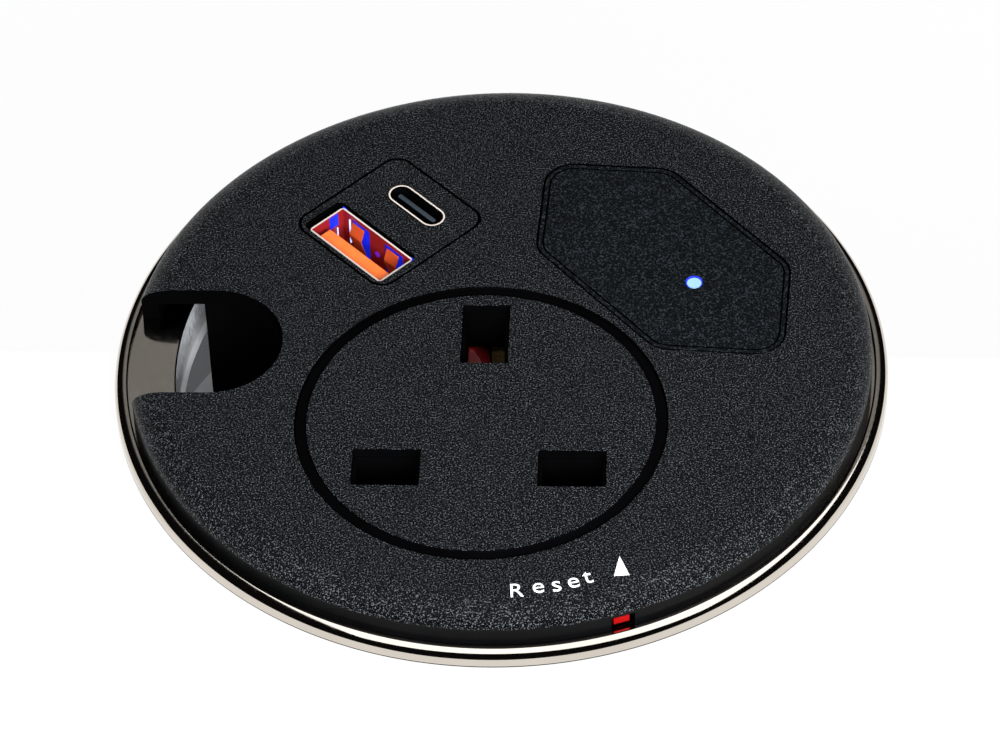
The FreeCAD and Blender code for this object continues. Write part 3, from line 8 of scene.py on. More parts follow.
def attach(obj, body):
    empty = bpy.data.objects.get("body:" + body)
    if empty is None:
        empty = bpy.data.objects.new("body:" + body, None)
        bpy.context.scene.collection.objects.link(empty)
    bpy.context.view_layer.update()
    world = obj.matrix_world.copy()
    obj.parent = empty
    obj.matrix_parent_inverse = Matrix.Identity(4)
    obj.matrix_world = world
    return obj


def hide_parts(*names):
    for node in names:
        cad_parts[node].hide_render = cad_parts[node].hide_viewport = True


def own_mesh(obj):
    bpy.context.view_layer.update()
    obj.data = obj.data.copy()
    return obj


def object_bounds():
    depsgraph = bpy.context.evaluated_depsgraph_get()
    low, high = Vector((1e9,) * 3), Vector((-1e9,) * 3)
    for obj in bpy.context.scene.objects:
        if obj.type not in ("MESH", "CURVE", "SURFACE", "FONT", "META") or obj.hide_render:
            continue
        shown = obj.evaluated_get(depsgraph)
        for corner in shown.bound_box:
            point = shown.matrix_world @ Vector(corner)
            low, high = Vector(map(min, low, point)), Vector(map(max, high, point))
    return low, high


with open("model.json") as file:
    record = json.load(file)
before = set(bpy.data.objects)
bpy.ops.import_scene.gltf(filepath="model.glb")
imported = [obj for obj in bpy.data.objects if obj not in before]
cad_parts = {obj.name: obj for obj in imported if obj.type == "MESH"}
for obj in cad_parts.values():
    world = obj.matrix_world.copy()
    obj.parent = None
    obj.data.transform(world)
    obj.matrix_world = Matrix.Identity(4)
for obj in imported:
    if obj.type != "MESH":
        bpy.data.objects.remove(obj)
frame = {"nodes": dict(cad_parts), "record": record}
cad_low, cad_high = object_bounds()
NODES = frame["nodes"]
MM = 0.001

# Places and sizes on the module, in millimetres, as the solids have them
CAP_TOP = 6.3
CAP_SHOULDER_R = 41.4
CAP_SHOULDER_Z = 4.3
CAP_SKIRT_R = 45.0
USB_PLACE = (-14.44, 20.28)
USB_TURN = math.radians(-45.0)
USB_A_AT = (0.4, -5.2)
USB_A_TOP = 6.05
USB_C_AT = (0.3, 4.28)
USB_C_RIM = 5.8
LIGHT_AT = (23.6, 9.9)

# The ring's outline, in millimetres: flange, bead, sleeve with its turned-in foot, and recess
RING_R = 47.4
RING_BREAK = 0.06
FLANGE_TOP = 1.5
BEAD_R, BEAD_Z, BEAD_LIP = 1.15, 1.1, 0.25
SLEEVE_IN_R, SLEEVE_OUT_R = 39.9, 40.5
SLEEVE_ROUND = 0.22
SLEEVE_END = -5.5
FOOT_IN, FOOT_FROM, FOOT_TO = 0.4, -4.5, -5.35
RECESS_IN, RECESS_OUT, RECESS_DEEP = 5.5, 1.0, 0.6
# Heights over which a painted highlight brightens the sleeve's inside towards its lower edge
SLEEVE_PAINTED_HIGHLIGHT = (-2.6, -4.6)

# Details that only the picture has, in millimetres
WELD = 0.001
PANEL_GROOVE = (0.5, 0.2, 0.35)
CHARGER_SHARE = 0.978
LENS_AT, LENS_CORE, LENS_EDGE = (23.62, 9.7, CAP_TOP), 0.84, 0.92
WINDOWS_AT = (-2.7, 3.5)
WINDOW_HALF = 1.65
WINDOW_LOW, WINDOW_HIGH = (-3.2, -1.0), (-2.0, 5.4)
FINGERS_AT = (-2.95, 3.45)
FINGER_WIDE, FINGER_THICK = 2.2, 0.14
FINGER_TOP = (-2.72, 5.05)
FINGER_STEPS = ((-0.05, -0.3), (-0.5, -1.2), (0.0, -0.45), (0.5, -1.7), (0.25, -2.2))
SPOT_AT, SPOT_R, SPOT_THICK = (0.35, -2.64, 2.5), 0.42, 0.06

# Moulded nodes: the name of the piece, the width of its broken edges and the body it rides on
MOULDED = {
    "top_cap": ("cap_shell", 0.28, "module"),
    "socket_insert": ("socket_face", 0.14, "module"),
    "usb_insert": ("charger_face", 0.28, "module"),
    "usb_c_shell": ("charger_small_shell", 0.04, "module"),
    "usb_a_tongue": ("charger_wide_tongue", 0.35, "module"),
    "usb_c_tongue": ("charger_small_tongue", 0.2, "module"),
    "housing": ("housing_shell", 0.12, "module"),
    "base_cover": ("base_plate", 0.25, "module"),
    "inlet_body": ("inlet_moulding", 0.25, "module"),
    "clamp_nut": ("clamp_nut_moulding", 0.35, "nut_body"),
    "clamp_washer": ("clamp_washer_plate", 0.15, "washer_body"),
    "reset_slider": ("reset_tab", 0.15, "reset_body"),
}
PANEL_EDGE = 0.1

# Glows in the wide socket: name, low and high corner in the charger's directions, and finish; the
# two streaks are a painted highlight that glows
GLOWS = (("glow_behind", (-5.6, -2.24, -1.2), (6.4, -2.14, 5.5), "blue_glow"),
         ("glow_left_end", (-5.9, -4.9, 4.0), (-5.84, -3.5, 5.9), "blue_glow"),
         ("glow_far_left", (-6.35, -2.28, 4.6), (-5.6, -2.14, 5.9), "blue_glow"),
         ("glow_far_right", (6.3, -2.28, 4.6), (7.2, -2.14, 5.9), "blue_glow"),
         ("glow_right_end", (7.05, -3.0, 4.6), (7.17, -2.4, 5.9), "blue_glow"),
         ("streak_long", (-4.62, -2.8, 1.2), (-4.47, -2.66, 5.2), "white_painted_highlight"),
         ("streak_short", (-5.75, -3.9, 2.4), (-5.62, -3.78, 3.8), "white_painted_highlight"))

# Marking: letter, angle round the module in degrees, radius of its baseline and cap height
MARKING = (("R", -85.45, 42.0, 2.1), ("e", -81.8, 41.65, 2.35), ("s", -78.8, 41.75, 2.43),
           ("e", -75.95, 41.6, 2.35), ("t", -73.45, 41.35, 2.35))
MARKING_Z = 6.6
FONT_CAP = 0.72
ARROW_AT, ARROW_TURN, ARROW_SIZE = (15.41, -37.45), 6.05, (1.062, 2.027)
INK_THICK, INK_OFFSET = 0.04, 0.4

# Stage, in millimetres: inner and outer radius, height, line of the cut and middle of each card
FLOOR_SIZE = 6000.0
FLOOR_DROP = 0.2
DESK_CARD = (41.0, 122.0, -0.8, 4.0)
VELVET_CARD = (78.0, 420.0, -0.3, -24.0, 26.8)
# A grey card under the module, seen through the cable passage: painted shade on the floor beneath
# it
SHADE_CARD_AT, SHADE_CARD_SIZE, SHADE_CARD_DROP = (-45.4, 60.2), (5.6, 14.4), 0.1
PAPER = (0.82, 0.82, 0.82)
WHITE_SHARE = 0.96

# World: the directions between which its one grey patch fades, and its two greys
WORLD_BAND = (0.58, 0.68)
WORLD_SIDES = (0.3, 0.14)
WORLD_BEHIND = (0.2, 0.4)
WORLD_DARK = (0.004, 0.004, 0.004)
WORLD_GREY = (0.22, 0.22, 0.22)
LAMP_TINT = (0.95, 0.97, 1.0)


# The camera, as fitted to the photograph: millimetres, and elevation, azimuth and roll in degrees

CAMERA_AIM = (-0.12, -0.62, 0.0)
CAMERA_DISTANCE = 614.06
CAMERA_ANGLES = (46.21, 3.41, -2.05)
CAMERA_LENS = 180.0


def place_camera():
    elevation, azimuth, roll = (math.radians(angle) for angle in CAMERA_ANGLES)
    back = Vector((math.sin(azimuth) * math.cos(elevation),
                   -math.cos(azimuth) * math.cos(elevation), math.sin(elevation)))
    right = (-back).cross(Vector((0, 0, 1))).normalized()
    up = right.cross(-back)
    turned_right = right * math.cos(roll) + up * math.sin(roll)
    turned_up = up * math.cos(roll) - right * math.sin(roll)
    data = bpy.data.cameras.new("photo_camera")
    data.lens = CAMERA_LENS
    data.sensor_width = 36.0
    data.clip_start = 0.01
    data.clip_end = 20.0
    camera = bpy.data.objects.new("photo_camera", data)
    bpy.context.scene.collection.objects.link(camera)
    axes = Matrix((turned_right, turned_up, back)).transposed().to_4x4()
    place = (Vector(CAMERA_AIM) + back * CAMERA_DISTANCE) * MM
    camera.matrix_world = Matrix.Translation(place) @ axes
    bpy.context.scene.camera = camera


place_camera()


# Materials

def new_material(name):
    material = bpy.data.materials.new(name)
    material.use_nodes = True
    return material, material.node_tree, material.node_tree.nodes["Principled BSDF"]


def add(tree, kind, inputs=None, **settings):
    node = tree.nodes.new(kind)
    for key, value in settings.items():
        setattr(node, key, value)
    for key, value in (inputs or {}).items():
        node.inputs[key].default_value = value
    return node


def object_coords(tree, stretch=(1, 1, 1)):
    coords = add(tree, "ShaderNodeTexCoord")
    mapping = add(tree, "ShaderNodeMapping", {"Scale": stretch})
    tree.links.new(coords.outputs["Object"], mapping.inputs["Vector"])
    return mapping.outputs["Vector"]


def noise(tree, vector, size_mm, detail=2.0):
    node = add(tree, "ShaderNodeTexNoise",
               {"Scale": 1 / (size_mm * MM), "Detail": detail, "Roughness": 0.5})
    tree.links.new(vector, node.inputs["Vector"])
    return node.outputs["Fac"]


def map_range(tree, value, low_in, high_in, low_out, high_out):
    node = add(tree, "ShaderNodeMapRange", {"From Min": low_in, "From Max": high_in,
                                            "To Min": low_out, "To Max": high_out})
    tree.links.new(value, node.inputs["Value"])
    return node.outputs["Result"]


def combined(tree, operation, first, second):
    """Two values added or multiplied."""
    node = add(tree, "ShaderNodeMath", operation=operation)
    tree.links.new(first, node.inputs[0])
    tree.links.new(second, node.inputs[1])
    return node.outputs[0]


def blend_colours(tree, factor, first, second):
    node = add(tree, "ShaderNodeMix", data_type="RGBA")
    for key, colour in (("A", first), ("B", second)):
        socket = [s for s in node.inputs if s.name == key and s.type == "RGBA"][0]
        if isinstance(colour, tuple):
            socket.default_value = (*colour, 1.0)
        else:
            tree.links.new(colour, socket)
    tree.links.new(factor, node.inputs["Factor"])
    return [s for s in node.outputs if s.type == "RGBA"][0]


def bump(tree, shader, height, depth_mm):
    node = add(tree, "ShaderNodeBump", {"Strength": 1.0, "Distance": depth_mm * MM})
    tree.links.new(height, node.inputs["Height"])
    tree.links.new(node.outputs["Normal"], shader.inputs["Normal"])


def set_sockets(shader, sockets):
    for key, value in sockets.items():
        shader.inputs[key.replace("_", " ")].default_value = value


def surface(name, dark, light, roughness, grain_mm, depth_mm, stretch=(1, 1, 1), **sockets):
    """A finish whose colour, gloss and relief all vary a little with one fine grain."""
    material, tree, shader = new_material(name)
    vector = object_coords(tree, stretch)
    grain = noise(tree, vector, grain_mm, 3.0)
    broad = noise(tree, object_coords(tree), grain_mm * 22, 2.0)
    mixed = blend_colours(tree, map_range(tree, broad, 0.3, 0.7, 0, 1), dark, light)
    tree.links.new(mixed, shader.inputs["Base Color"])
    tree.links.new(map_range(tree, grain, 0.3, 0.7, *roughness), shader.inputs["Roughness"])
    bump(tree, shader, grain, depth_mm)
    set_sockets(shader, sockets)
    return material


def spark_grain(name, dark, glint_colour, roughness, grain_mm, depth_mm, share, **sockets):
    """Plastic from a spark-eroded mould: fine pits and flats, with pale flecks in its colour as
    painted glints where the grain would sparkle.
    """
    material, tree, shader = new_material(name)
    vector = object_coords(tree)
    pits = noise(tree, vector, grain_mm, 1.0)
    crumbs = noise(tree, vector, grain_mm * 0.7, 1.0)
    height = combined(tree, "ADD", pits, crumbs)
    glint_mask = map_range(tree, pits, *share, 0, 1)
    tree.links.new(blend_colours(tree, glint_mask, dark, glint_colour), shader.inputs["Base Color"])
    tree.links.new(map_range(tree, pits, 0.3, 0.7, *roughness), shader.inputs["Roughness"])
    bump(tree, shader, height, depth_mm)
    set_sockets(shader, sockets)
    return material


def glowing(name, colour, strength):
    """A glowing finish, a little uneven like a real light guide: the blue light in the socket, and
    on the white streaks and the violet spot a painted highlight.
    """
    material, tree, shader = new_material(name)
    vector = object_coords(tree)
    uneven = map_range(tree, noise(tree, vector, 0.7, 2.0), 0.3, 0.7, 0.6, 1.0)
    tinted = blend_colours(tree, uneven, tuple(0.45 * c for c in colour), colour)
    tree.links.new(tinted, shader.inputs["Emission Color"])
    tree.links.new(tinted, shader.inputs["Base Color"])
    shader.inputs["Emission Strength"].default_value = strength
    shader.inputs["Roughness"].default_value = 0.3
    return material


def indicator_light(name, middle_mm, core_mm, edge_mm):
    """A lit lens: a pale blue core with a strong blue border."""
    material, tree, shader = new_material(name)
    vector = object_coords(tree)
    apart = add(tree, "ShaderNodeVectorMath", {1: tuple(c * MM for c in middle_mm)},
                operation="DISTANCE")
    tree.links.new(vector, apart.inputs[0])
    border = map_range(tree, apart.outputs["Value"], core_mm * MM, edge_mm * MM, 0, 1)
    tinted = blend_colours(tree, border, (0.24, 0.42, 0.55), (0.012, 0.03, 0.6))
    tree.links.new(tinted, shader.inputs["Base Color"])
    tree.links.new(tinted, shader.inputs["Emission Color"])
    shader.inputs["Emission Strength"].default_value = 0.3
    shader.inputs["Roughness"].default_value = 0.2
    return material


def sleeve_finish(name):
    """Bare drawn metal, dull at the top, with a painted highlight that brightens it towards its
    lower edge.
    """
    material, tree, shader = new_material(name)
    vector = object_coords(tree)
    parts = add(tree, "ShaderNodeSeparateXYZ")
    tree.links.new(vector, parts.inputs[0])
    # Painted highlight: the colour turns near white towards the sleeve's lower edge
    low = map_range(tree, parts.outputs["Z"], SLEEVE_PAINTED_HIGHLIGHT[0] * MM, SLEEVE_PAINTED_HIGHLIGHT[1] * MM, 0, 1)
    streaks = noise(tree, object_coords(tree, (1, 1, 0.35)), 0.4, 2.0)
    dull = blend_colours(tree, map_range(tree, streaks, 0.35, 0.65, 0, 1),
                         (0.34, 0.35, 0.36), (0.62, 0.63, 0.64))
    tree.links.new(blend_colours(tree, low, dull, (0.95, 0.95, 0.95)),
                   shader.inputs["Base Color"])
    tree.links.new(map_range(tree, streaks, 0.3, 0.7, 0.4, 0.6), shader.inputs["Roughness"])
    bump(tree, shader, streaks, 0.03)
    shader.inputs["Metallic"].default_value = 0.2
    return material


# Finishes: name, dark and light colour, range of roughness, then grain and relief in millimetres
MATERIALS = {
    # The grained blacks' second colour is a painted glint: pale flecks that stand in for the
    # sparkle of the grain
    "grained_black": spark_grain("spark_grained_black", (0.0006, 0.0008, 0.001),
                                 (0.078, 0.085, 0.094), (0.22, 0.36), 0.185, 0.12, (0.575, 0.66),
                                 Specular_IOR_Level=0.22),
    "fine_black": spark_grain("fine_grained_black", (0.0008, 0.0013, 0.0018),
                              (0.022, 0.03, 0.036), (0.26, 0.38), 0.2, 0.08, (0.56, 0.65),
                              Specular_IOR_Level=0.12),
    # Painted shade: near black with no gloss, for walls, floors and broken edges down in openings,
    # grooves, the sockets and the cable passage
    "painted_shade_black": surface("painted_shade_moulding", (0.0008, 0.0008, 0.0009),
                            (0.0014, 0.0014, 0.0016), (0.3, 0.4), 0.5, 0.002,
                            Specular_IOR_Level=0.0),
    "skirt_black": surface("satin_black_skirt", (0.0016, 0.0017, 0.0019),
                           (0.0026, 0.0027, 0.003), (0.3, 0.42), 0.4, 0.004,
                           Specular_IOR_Level=0.1),
    "sleeve_metal": sleeve_finish("bright_rough_sleeve"),
    # The wide shell's inside: the red light of the lit socket is painted into its colour
    "shell_inside": surface("lamplit_shell_wall", (0.3, 0.014, 0.016), (0.42, 0.022, 0.024),
                            (0.3, 0.42), 0.5, 0.004, Metallic=0.3),
    # The spring fingers: the orange light in the socket is painted into their colour
    "spring_finger": surface("orange_lit_spring", (0.62, 0.08, 0.02), (0.8, 0.13, 0.03),
                             (0.28, 0.4), 0.4, 0.004, Metallic=0.3),
    "shell_rim": surface("pale_cut_rim", (0.66, 0.56, 0.49), (0.74, 0.64, 0.57),
                         (0.4, 0.5), 0.4, 0.004, Metallic=0.25),
    "blue_glow": glowing("blue_light", (0.006, 0.02, 0.75), 0.55),
    "white_painted_highlight": glowing("blue_white_light", (0.5, 0.62, 1.0), 1.3),
    "violet_painted_highlight": glowing("violet_light", (0.13, 0.015, 0.5), 0.7),
    "washer_zinc": surface("passivated_zinc", (0.37, 0.37, 0.38), (0.44, 0.44, 0.455),
                           (0.35, 0.5), 0.35, 0.006, Metallic=0.3),
    "marking": surface("pale_marking_ink", (0.7, 0.7, 0.69), (0.9, 0.9, 0.89), (0.5, 0.65),
                       0.25, 0.004),
    "polished_metal": surface("polished_nickel", (0.62, 0.565, 0.495), (0.68, 0.62, 0.545),
                              (0.05, 0.12), 0.6, 0.0006, Metallic=1.0),
    "gasket_rubber": surface("foam_gasket", (0.52, 0.51, 0.48), (0.62, 0.61, 0.58),
                             (0.7, 0.85), 0.3, 0.02),
    "housing_black": surface("satin_black_moulding", (0.008, 0.0083, 0.009),
                             (0.013, 0.0133, 0.0145), (0.42, 0.55), 0.3, 0.01,
                             Specular_IOR_Level=0.3),
    "inlet_black": surface("glossy_black_moulding", (0.012, 0.012, 0.013),
                           (0.018, 0.018, 0.02), (0.2, 0.3), 0.4, 0.004),
    "carrier_white": surface("white_moulding", (0.6, 0.6, 0.58), (0.68, 0.68, 0.66),
                             (0.4, 0.5), 0.4, 0.005),
    "shutter_red": surface("dark_red_moulding", (0.16, 0.005, 0.006), (0.22, 0.01, 0.01),
                           (0.3, 0.4), 0.3, 0.004),
    "reset_red": surface("red_moulding", (0.2, 0.0012, 0.0014), (0.25, 0.002, 0.002),
                         (0.3, 0.4), 0.3, 0.004, Specular_IOR_Level=0.08),
    "brass": surface("rolled_brass", (0.62, 0.46, 0.2), (0.72, 0.55, 0.26), (0.2, 0.34), 0.2,
                     0.002, (1, 12, 1), Metallic=1.0),
    "nickel": surface("warm_nickel_plate", (0.66, 0.6, 0.54), (0.76, 0.7, 0.63), (0.18, 0.3),
                      0.2, 0.002, (8, 1, 1), Metallic=1.0),
    "orange_tongue": surface("orange_moulding", (0.86, 0.15, 0.025), (0.96, 0.2, 0.04),
                             (0.35, 0.5), 0.22, 0.03, Specular_IOR_Level=0.3),
    "dark_tongue": surface("slate_moulding", (0.016, 0.024, 0.032), (0.024, 0.034, 0.044),
                           (0.35, 0.45), 0.2, 0.003),
    "gold_plate": surface("gold_plate", (0.8, 0.55, 0.22), (0.9, 0.64, 0.28), (0.18, 0.26),
                          0.2, 0.001, Metallic=1.0),
    "case_black": surface("charcoal_moulding", (0.03, 0.03, 0.033), (0.045, 0.045, 0.05),
                          (0.4, 0.5), 0.3, 0.008),
    "board_green": surface("board_lacquer", (0.012, 0.09, 0.03), (0.02, 0.13, 0.05),
                           (0.2, 0.3), 0.5, 0.003),
    "coil_tape": surface("yellow_coil_tape", (0.62, 0.45, 0.05), (0.75, 0.56, 0.08),
                         (0.4, 0.5), 0.3, 0.01, (1, 1, 10)),
    "can_sleeve": surface("navy_can_sleeve", (0.02, 0.03, 0.09), (0.03, 0.045, 0.13),
                          (0.25, 0.35), 0.4, 0.003),
    "ferrite": surface("grey_ferrite", (0.04, 0.04, 0.042), (0.07, 0.07, 0.07), (0.6, 0.75),
                       0.15, 0.02),
    "spring_steel": surface("spring_wire", (0.5, 0.5, 0.5), (0.62, 0.62, 0.62), (0.2, 0.3),
                            0.2, 0.002, (1, 1, 8), Metallic=1.0),
    "zinc": surface("bright_zinc", (0.55, 0.56, 0.58), (0.66, 0.67, 0.69), (0.25, 0.42), 0.35,
                    0.004, Metallic=1.0),
    "lead_brown": surface("brown_insulation", (0.12, 0.045, 0.015), (0.16, 0.06, 0.02),
                          (0.35, 0.45), 0.3, 0.004),
    "lead_blue": surface("blue_insulation", (0.01, 0.05, 0.26), (0.02, 0.07, 0.34),
                         (0.35, 0.45), 0.3, 0.004),
    "lead_green": surface("green_insulation", (0.04, 0.25, 0.02), (0.07, 0.33, 0.03),
                          (0.35, 0.45), 0.3, 0.004),
    "lead_black": surface("black_insulation", (0.015, 0.015, 0.016), (0.025, 0.025, 0.026),
                          (0.35, 0.45), 0.3, 0.004),
    "lens_clear": indicator_light("lit_lens", LENS_AT, LENS_CORE, LENS_EDGE),
    "led_blue": surface("blue_led_resin", (0.1, 0.35, 0.9), (0.15, 0.45, 1.0), (0.15, 0.2),
                        0.3, 0.001),
}


def dress(piece, finish):
    piece.data.materials.clear()
    piece.data.materials.append(MATERIALS[finish])


for entry in frame["record"]["subparts"]:
    dress(NODES[entry["node"]], entry["material_slot"])


# Shaping helpers

def only(*pieces):
    """Deselects everything, then selects these and makes the first one active."""
    if bpy.context.mode != "OBJECT":
        bpy.ops.object.mode_set(mode="OBJECT")
    bpy.ops.object.select_all(action="DESELECT")
    for piece in pieces:
        piece.select_set(True)
    bpy.context.view_layer.objects.active = pieces[0]


def settle(piece, body, slot, *replaced):
    """Applies the piece's place to its mesh, ties it to its body and hides the nodes it replaces;
    the slot is not used.
    """
    only(piece)
    bpy.ops.object.transform_apply(location=True, rotation=True, scale=True)
    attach(piece, body)
    if replaced:
        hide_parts(*replaced)
    return piece


def copy_of(node, name):
    """A loose copy of a node's mesh, with its corners merged and flat areas made whole."""
    source = NODES[node]
    piece = source.copy()
    piece.data = source.data.copy()
    piece.name = name
    piece.parent = None
    for key in list(piece.keys()):
        del piece[key]
    bpy.context.scene.collection.objects.link(piece)
    only(piece)
    bpy.ops.object.mode_set(mode="EDIT")
    bpy.ops.mesh.select_all(action="SELECT")
    bpy.ops.mesh.customdata_custom_splitnormals_clear()
    bpy.ops.mesh.remove_doubles(threshold=2 * WELD * MM)
    bpy.ops.mesh.dissolve_limited(angle_limit=math.radians(0.6), delimit=set())
    bpy.ops.object.mode_set(mode="OBJECT")
    return piece


def break_edges(piece, width_mm, angle=32.0, segments=2):
    """Rounds the sharp edges, and keeps the flat faces flat in the light."""
    only(piece)
    edge = piece.modifiers.new("broken_edges", "BEVEL")
    edge.width = width_mm * MM
    edge.segments = segments
    edge.limit_method = "ANGLE"
    edge.angle_limit = math.radians(angle)
    bpy.ops.object.modifier_apply(modifier=edge.name)
    bpy.ops.object.shade_smooth_by_angle(angle=math.radians(40))
    flats = piece.modifiers.new("flat_faces", "WEIGHTED_NORMAL")
    flats.keep_sharp = True
    bpy.ops.object.modifier_apply(modifier=flats.name)
    return piece


def cut_away(piece, cutter):
    """Cuts a shape out of a piece, then takes the shape off the scene."""
    only(piece)
    cut = piece.modifiers.new("cut", "BOOLEAN")
    cut.object = cutter
    cut.operation = "DIFFERENCE"
    cut.solver = "EXACT"
    bpy.ops.object.modifier_apply(modifier=cut.name)
    bpy.data.objects.remove(cutter)


def slot_of(node):
    return [s["material_slot"] for s in frame["record"]["subparts"] if s["node"] == node][0]


def softened(node, segments=2):
    """A copy of a moulded node with its sharp edges broken."""
    name, width_mm, body = MOULDED[node]
    piece = break_edges(copy_of(node, name), width_mm, segments=segments)
    return settle(piece, body, slot_of(node), node)


def paint(piece, finish, chosen):
    """Gives a second finish to the faces that chosen() picks by middle and normal, in mm."""
    piece.data.materials.append(MATERIALS[finish])
    index = len(piece.data.materials) - 1
    for face in piece.data.polygons:
        if chosen(face.center / MM, face.normal):
            face.material_index = index


def spun(name, outline_mm, steps):
    """Draws an outline of radius and height pairs, then spins it once round the middle."""
    only(NODES["desk_ring"])
    bpy.ops.mesh.primitive_plane_add(size=MM, location=(0, 0, 0))
    piece = bpy.context.active_object
    piece.name = name
    bpy.ops.object.mode_set(mode="EDIT")
    bpy.ops.mesh.select_all(action="SELECT")
    bpy.ops.mesh.merge(type="CENTER")
    (r0, z0) = outline_mm[0]
    bpy.ops.transform.translate(value=(r0 * MM, 0, z0 * MM))
    for (r1, z1) in outline_mm[1:]:
        step = ((r1 - r0) * MM, 0, (z1 - z0) * MM)
        bpy.ops.mesh.extrude_vertices_move(TRANSFORM_OT_translate={"value": step})
        r0, z0 = r1, z1
    bpy.ops.mesh.select_all(action="SELECT")
    bpy.ops.mesh.remove_doubles(threshold=WELD * MM)
    bpy.ops.mesh.select_all(action="SELECT")
    bpy.ops.mesh.spin(steps=steps, angle=math.tau, center=(0, 0, 0), axis=(0, 0, 1))
    bpy.ops.mesh.select_all(action="SELECT")
    bpy.ops.mesh.remove_doubles(threshold=WELD * MM)
    bpy.ops.mesh.select_all(action="SELECT")
    bpy.ops.mesh.normals_make_consistent(inside=False)
    bpy.ops.object.mode_set(mode="OBJECT")
    bpy.ops.object.shade_smooth_by_angle(angle=math.radians(24))
    return piece


def arc_points(r, z, radius, start, end, steps):
    """Points on an arc about (r, z), from one angle to another, in degrees."""
    angles = [math.radians(start + (end - start) * i / steps) for i in range(steps + 1)]
    return [(r + radius * math.cos(a), z + radius * math.sin(a)) for a in angles]


def build_ring():
    """The polished ring: flange, raised bead at the rim, and the sleeve into the desk."""
    lip_r, lip_z = RING_R - BEAD_R - BEAD_LIP, BEAD_Z + BEAD_R - BEAD_LIP
    foot = SLEEVE_IN_R - FOOT_IN
    outline = [(RING_R - RING_BREAK, 0.0), (RING_R, 0.1), (RING_R, 0.22)]
    outline += arc_points(RING_R - BEAD_R, BEAD_Z, BEAD_R, 0, 90, 12)
    outline += arc_points(lip_r, lip_z, BEAD_LIP, 90, 180, 6)
    outline += [(lip_r - BEAD_LIP, FLANGE_TOP)]
    outline += arc_points(SLEEVE_IN_R + SLEEVE_ROUND, FLANGE_TOP - SLEEVE_ROUND,
                          SLEEVE_ROUND, 90, 180, 5)
    outline += [(SLEEVE_IN_R, FOOT_FROM), (foot, FOOT_TO), (foot, SLEEVE_END),
                (SLEEVE_OUT_R - 0.05, SLEEVE_END), (SLEEVE_OUT_R, SLEEVE_END + 0.05),
                (SLEEVE_OUT_R, 0.0), (RING_R - RECESS_IN, 0.0),
                (RING_R - RECESS_IN, RECESS_DEEP), (RING_R - RECESS_OUT, RECESS_DEEP),
                (RING_R - RECESS_OUT, 0.0), (RING_R - RING_BREAK, 0.0)]
    ring = spun("polished_ring", outline, 288)
    dress(ring, "polished_metal")
    paint(ring, "sleeve_metal", inner_sleeve)
    # Painted shade on the rounded corner into the sleeve and along the rim's foot
    paint(ring, "painted_shade_black", shaded_edges_of_ring)
    settle(ring, "module", "polished_metal", "desk_ring")


def inner_sleeve(at, way):
    below_round = at.z < FLANGE_TOP - SLEEVE_ROUND
    return below_round and math.hypot(at.x, at.y) < SLEEVE_OUT_R + 0.5


def shaded_edges_of_ring(at, way):
    """The rounded corner into the sleeve, and the foot of the rim, which both get painted shade."""
    reach = math.hypot(at.x, at.y)
    in_round = FLANGE_TOP - SLEEVE_ROUND <= at.z < FLANGE_TOP - 0.02
    return (in_round and reach < SLEEVE_IN_R + 0.3) or (at.z < 0.2 and reach > RING_R - 0.1)


def build_moulded_parts():
    cap = softened("top_cap")
    # Painted shade on the walls, floors and broken edges of the cap's openings, and inside the
    # inserts' and panel's openings
    paint(cap, "painted_shade_black", inside_of_opening)
    paint(cap, "painted_shade_black", edge_of_opening)
    paint(cap, "skirt_black", outer_skirt)
    socket = softened("socket_insert")
    paint(socket, "painted_shade_black", inside_of_opening)
    charger = softened("usb_insert")
    paint(charger, "painted_shade_black", inside_of_opening)
    drawn_in(charger, USB_PLACE, CHARGER_SHARE)
    panel = copy_of("indicator_panel", "indicator_plate")
    cut_away(panel, outline_groove("indicator_panel", LIGHT_AT))
    break_edges(panel, PANEL_EDGE)
    settle(panel, "module", slot_of("indicator_panel"), "indicator_panel")
    paint(panel, "painted_shade_black", inside_of_opening)
    housing = softened("housing")
    # Painted shade on the housing's side along the cable passage
    paint(housing, "painted_shade_black", beside_passage)
    softened("base_cover")
    softened("inlet_body")
    softened("clamp_nut")
    dress(softened("clamp_washer"), "washer_zinc")
    softened("reset_slider")


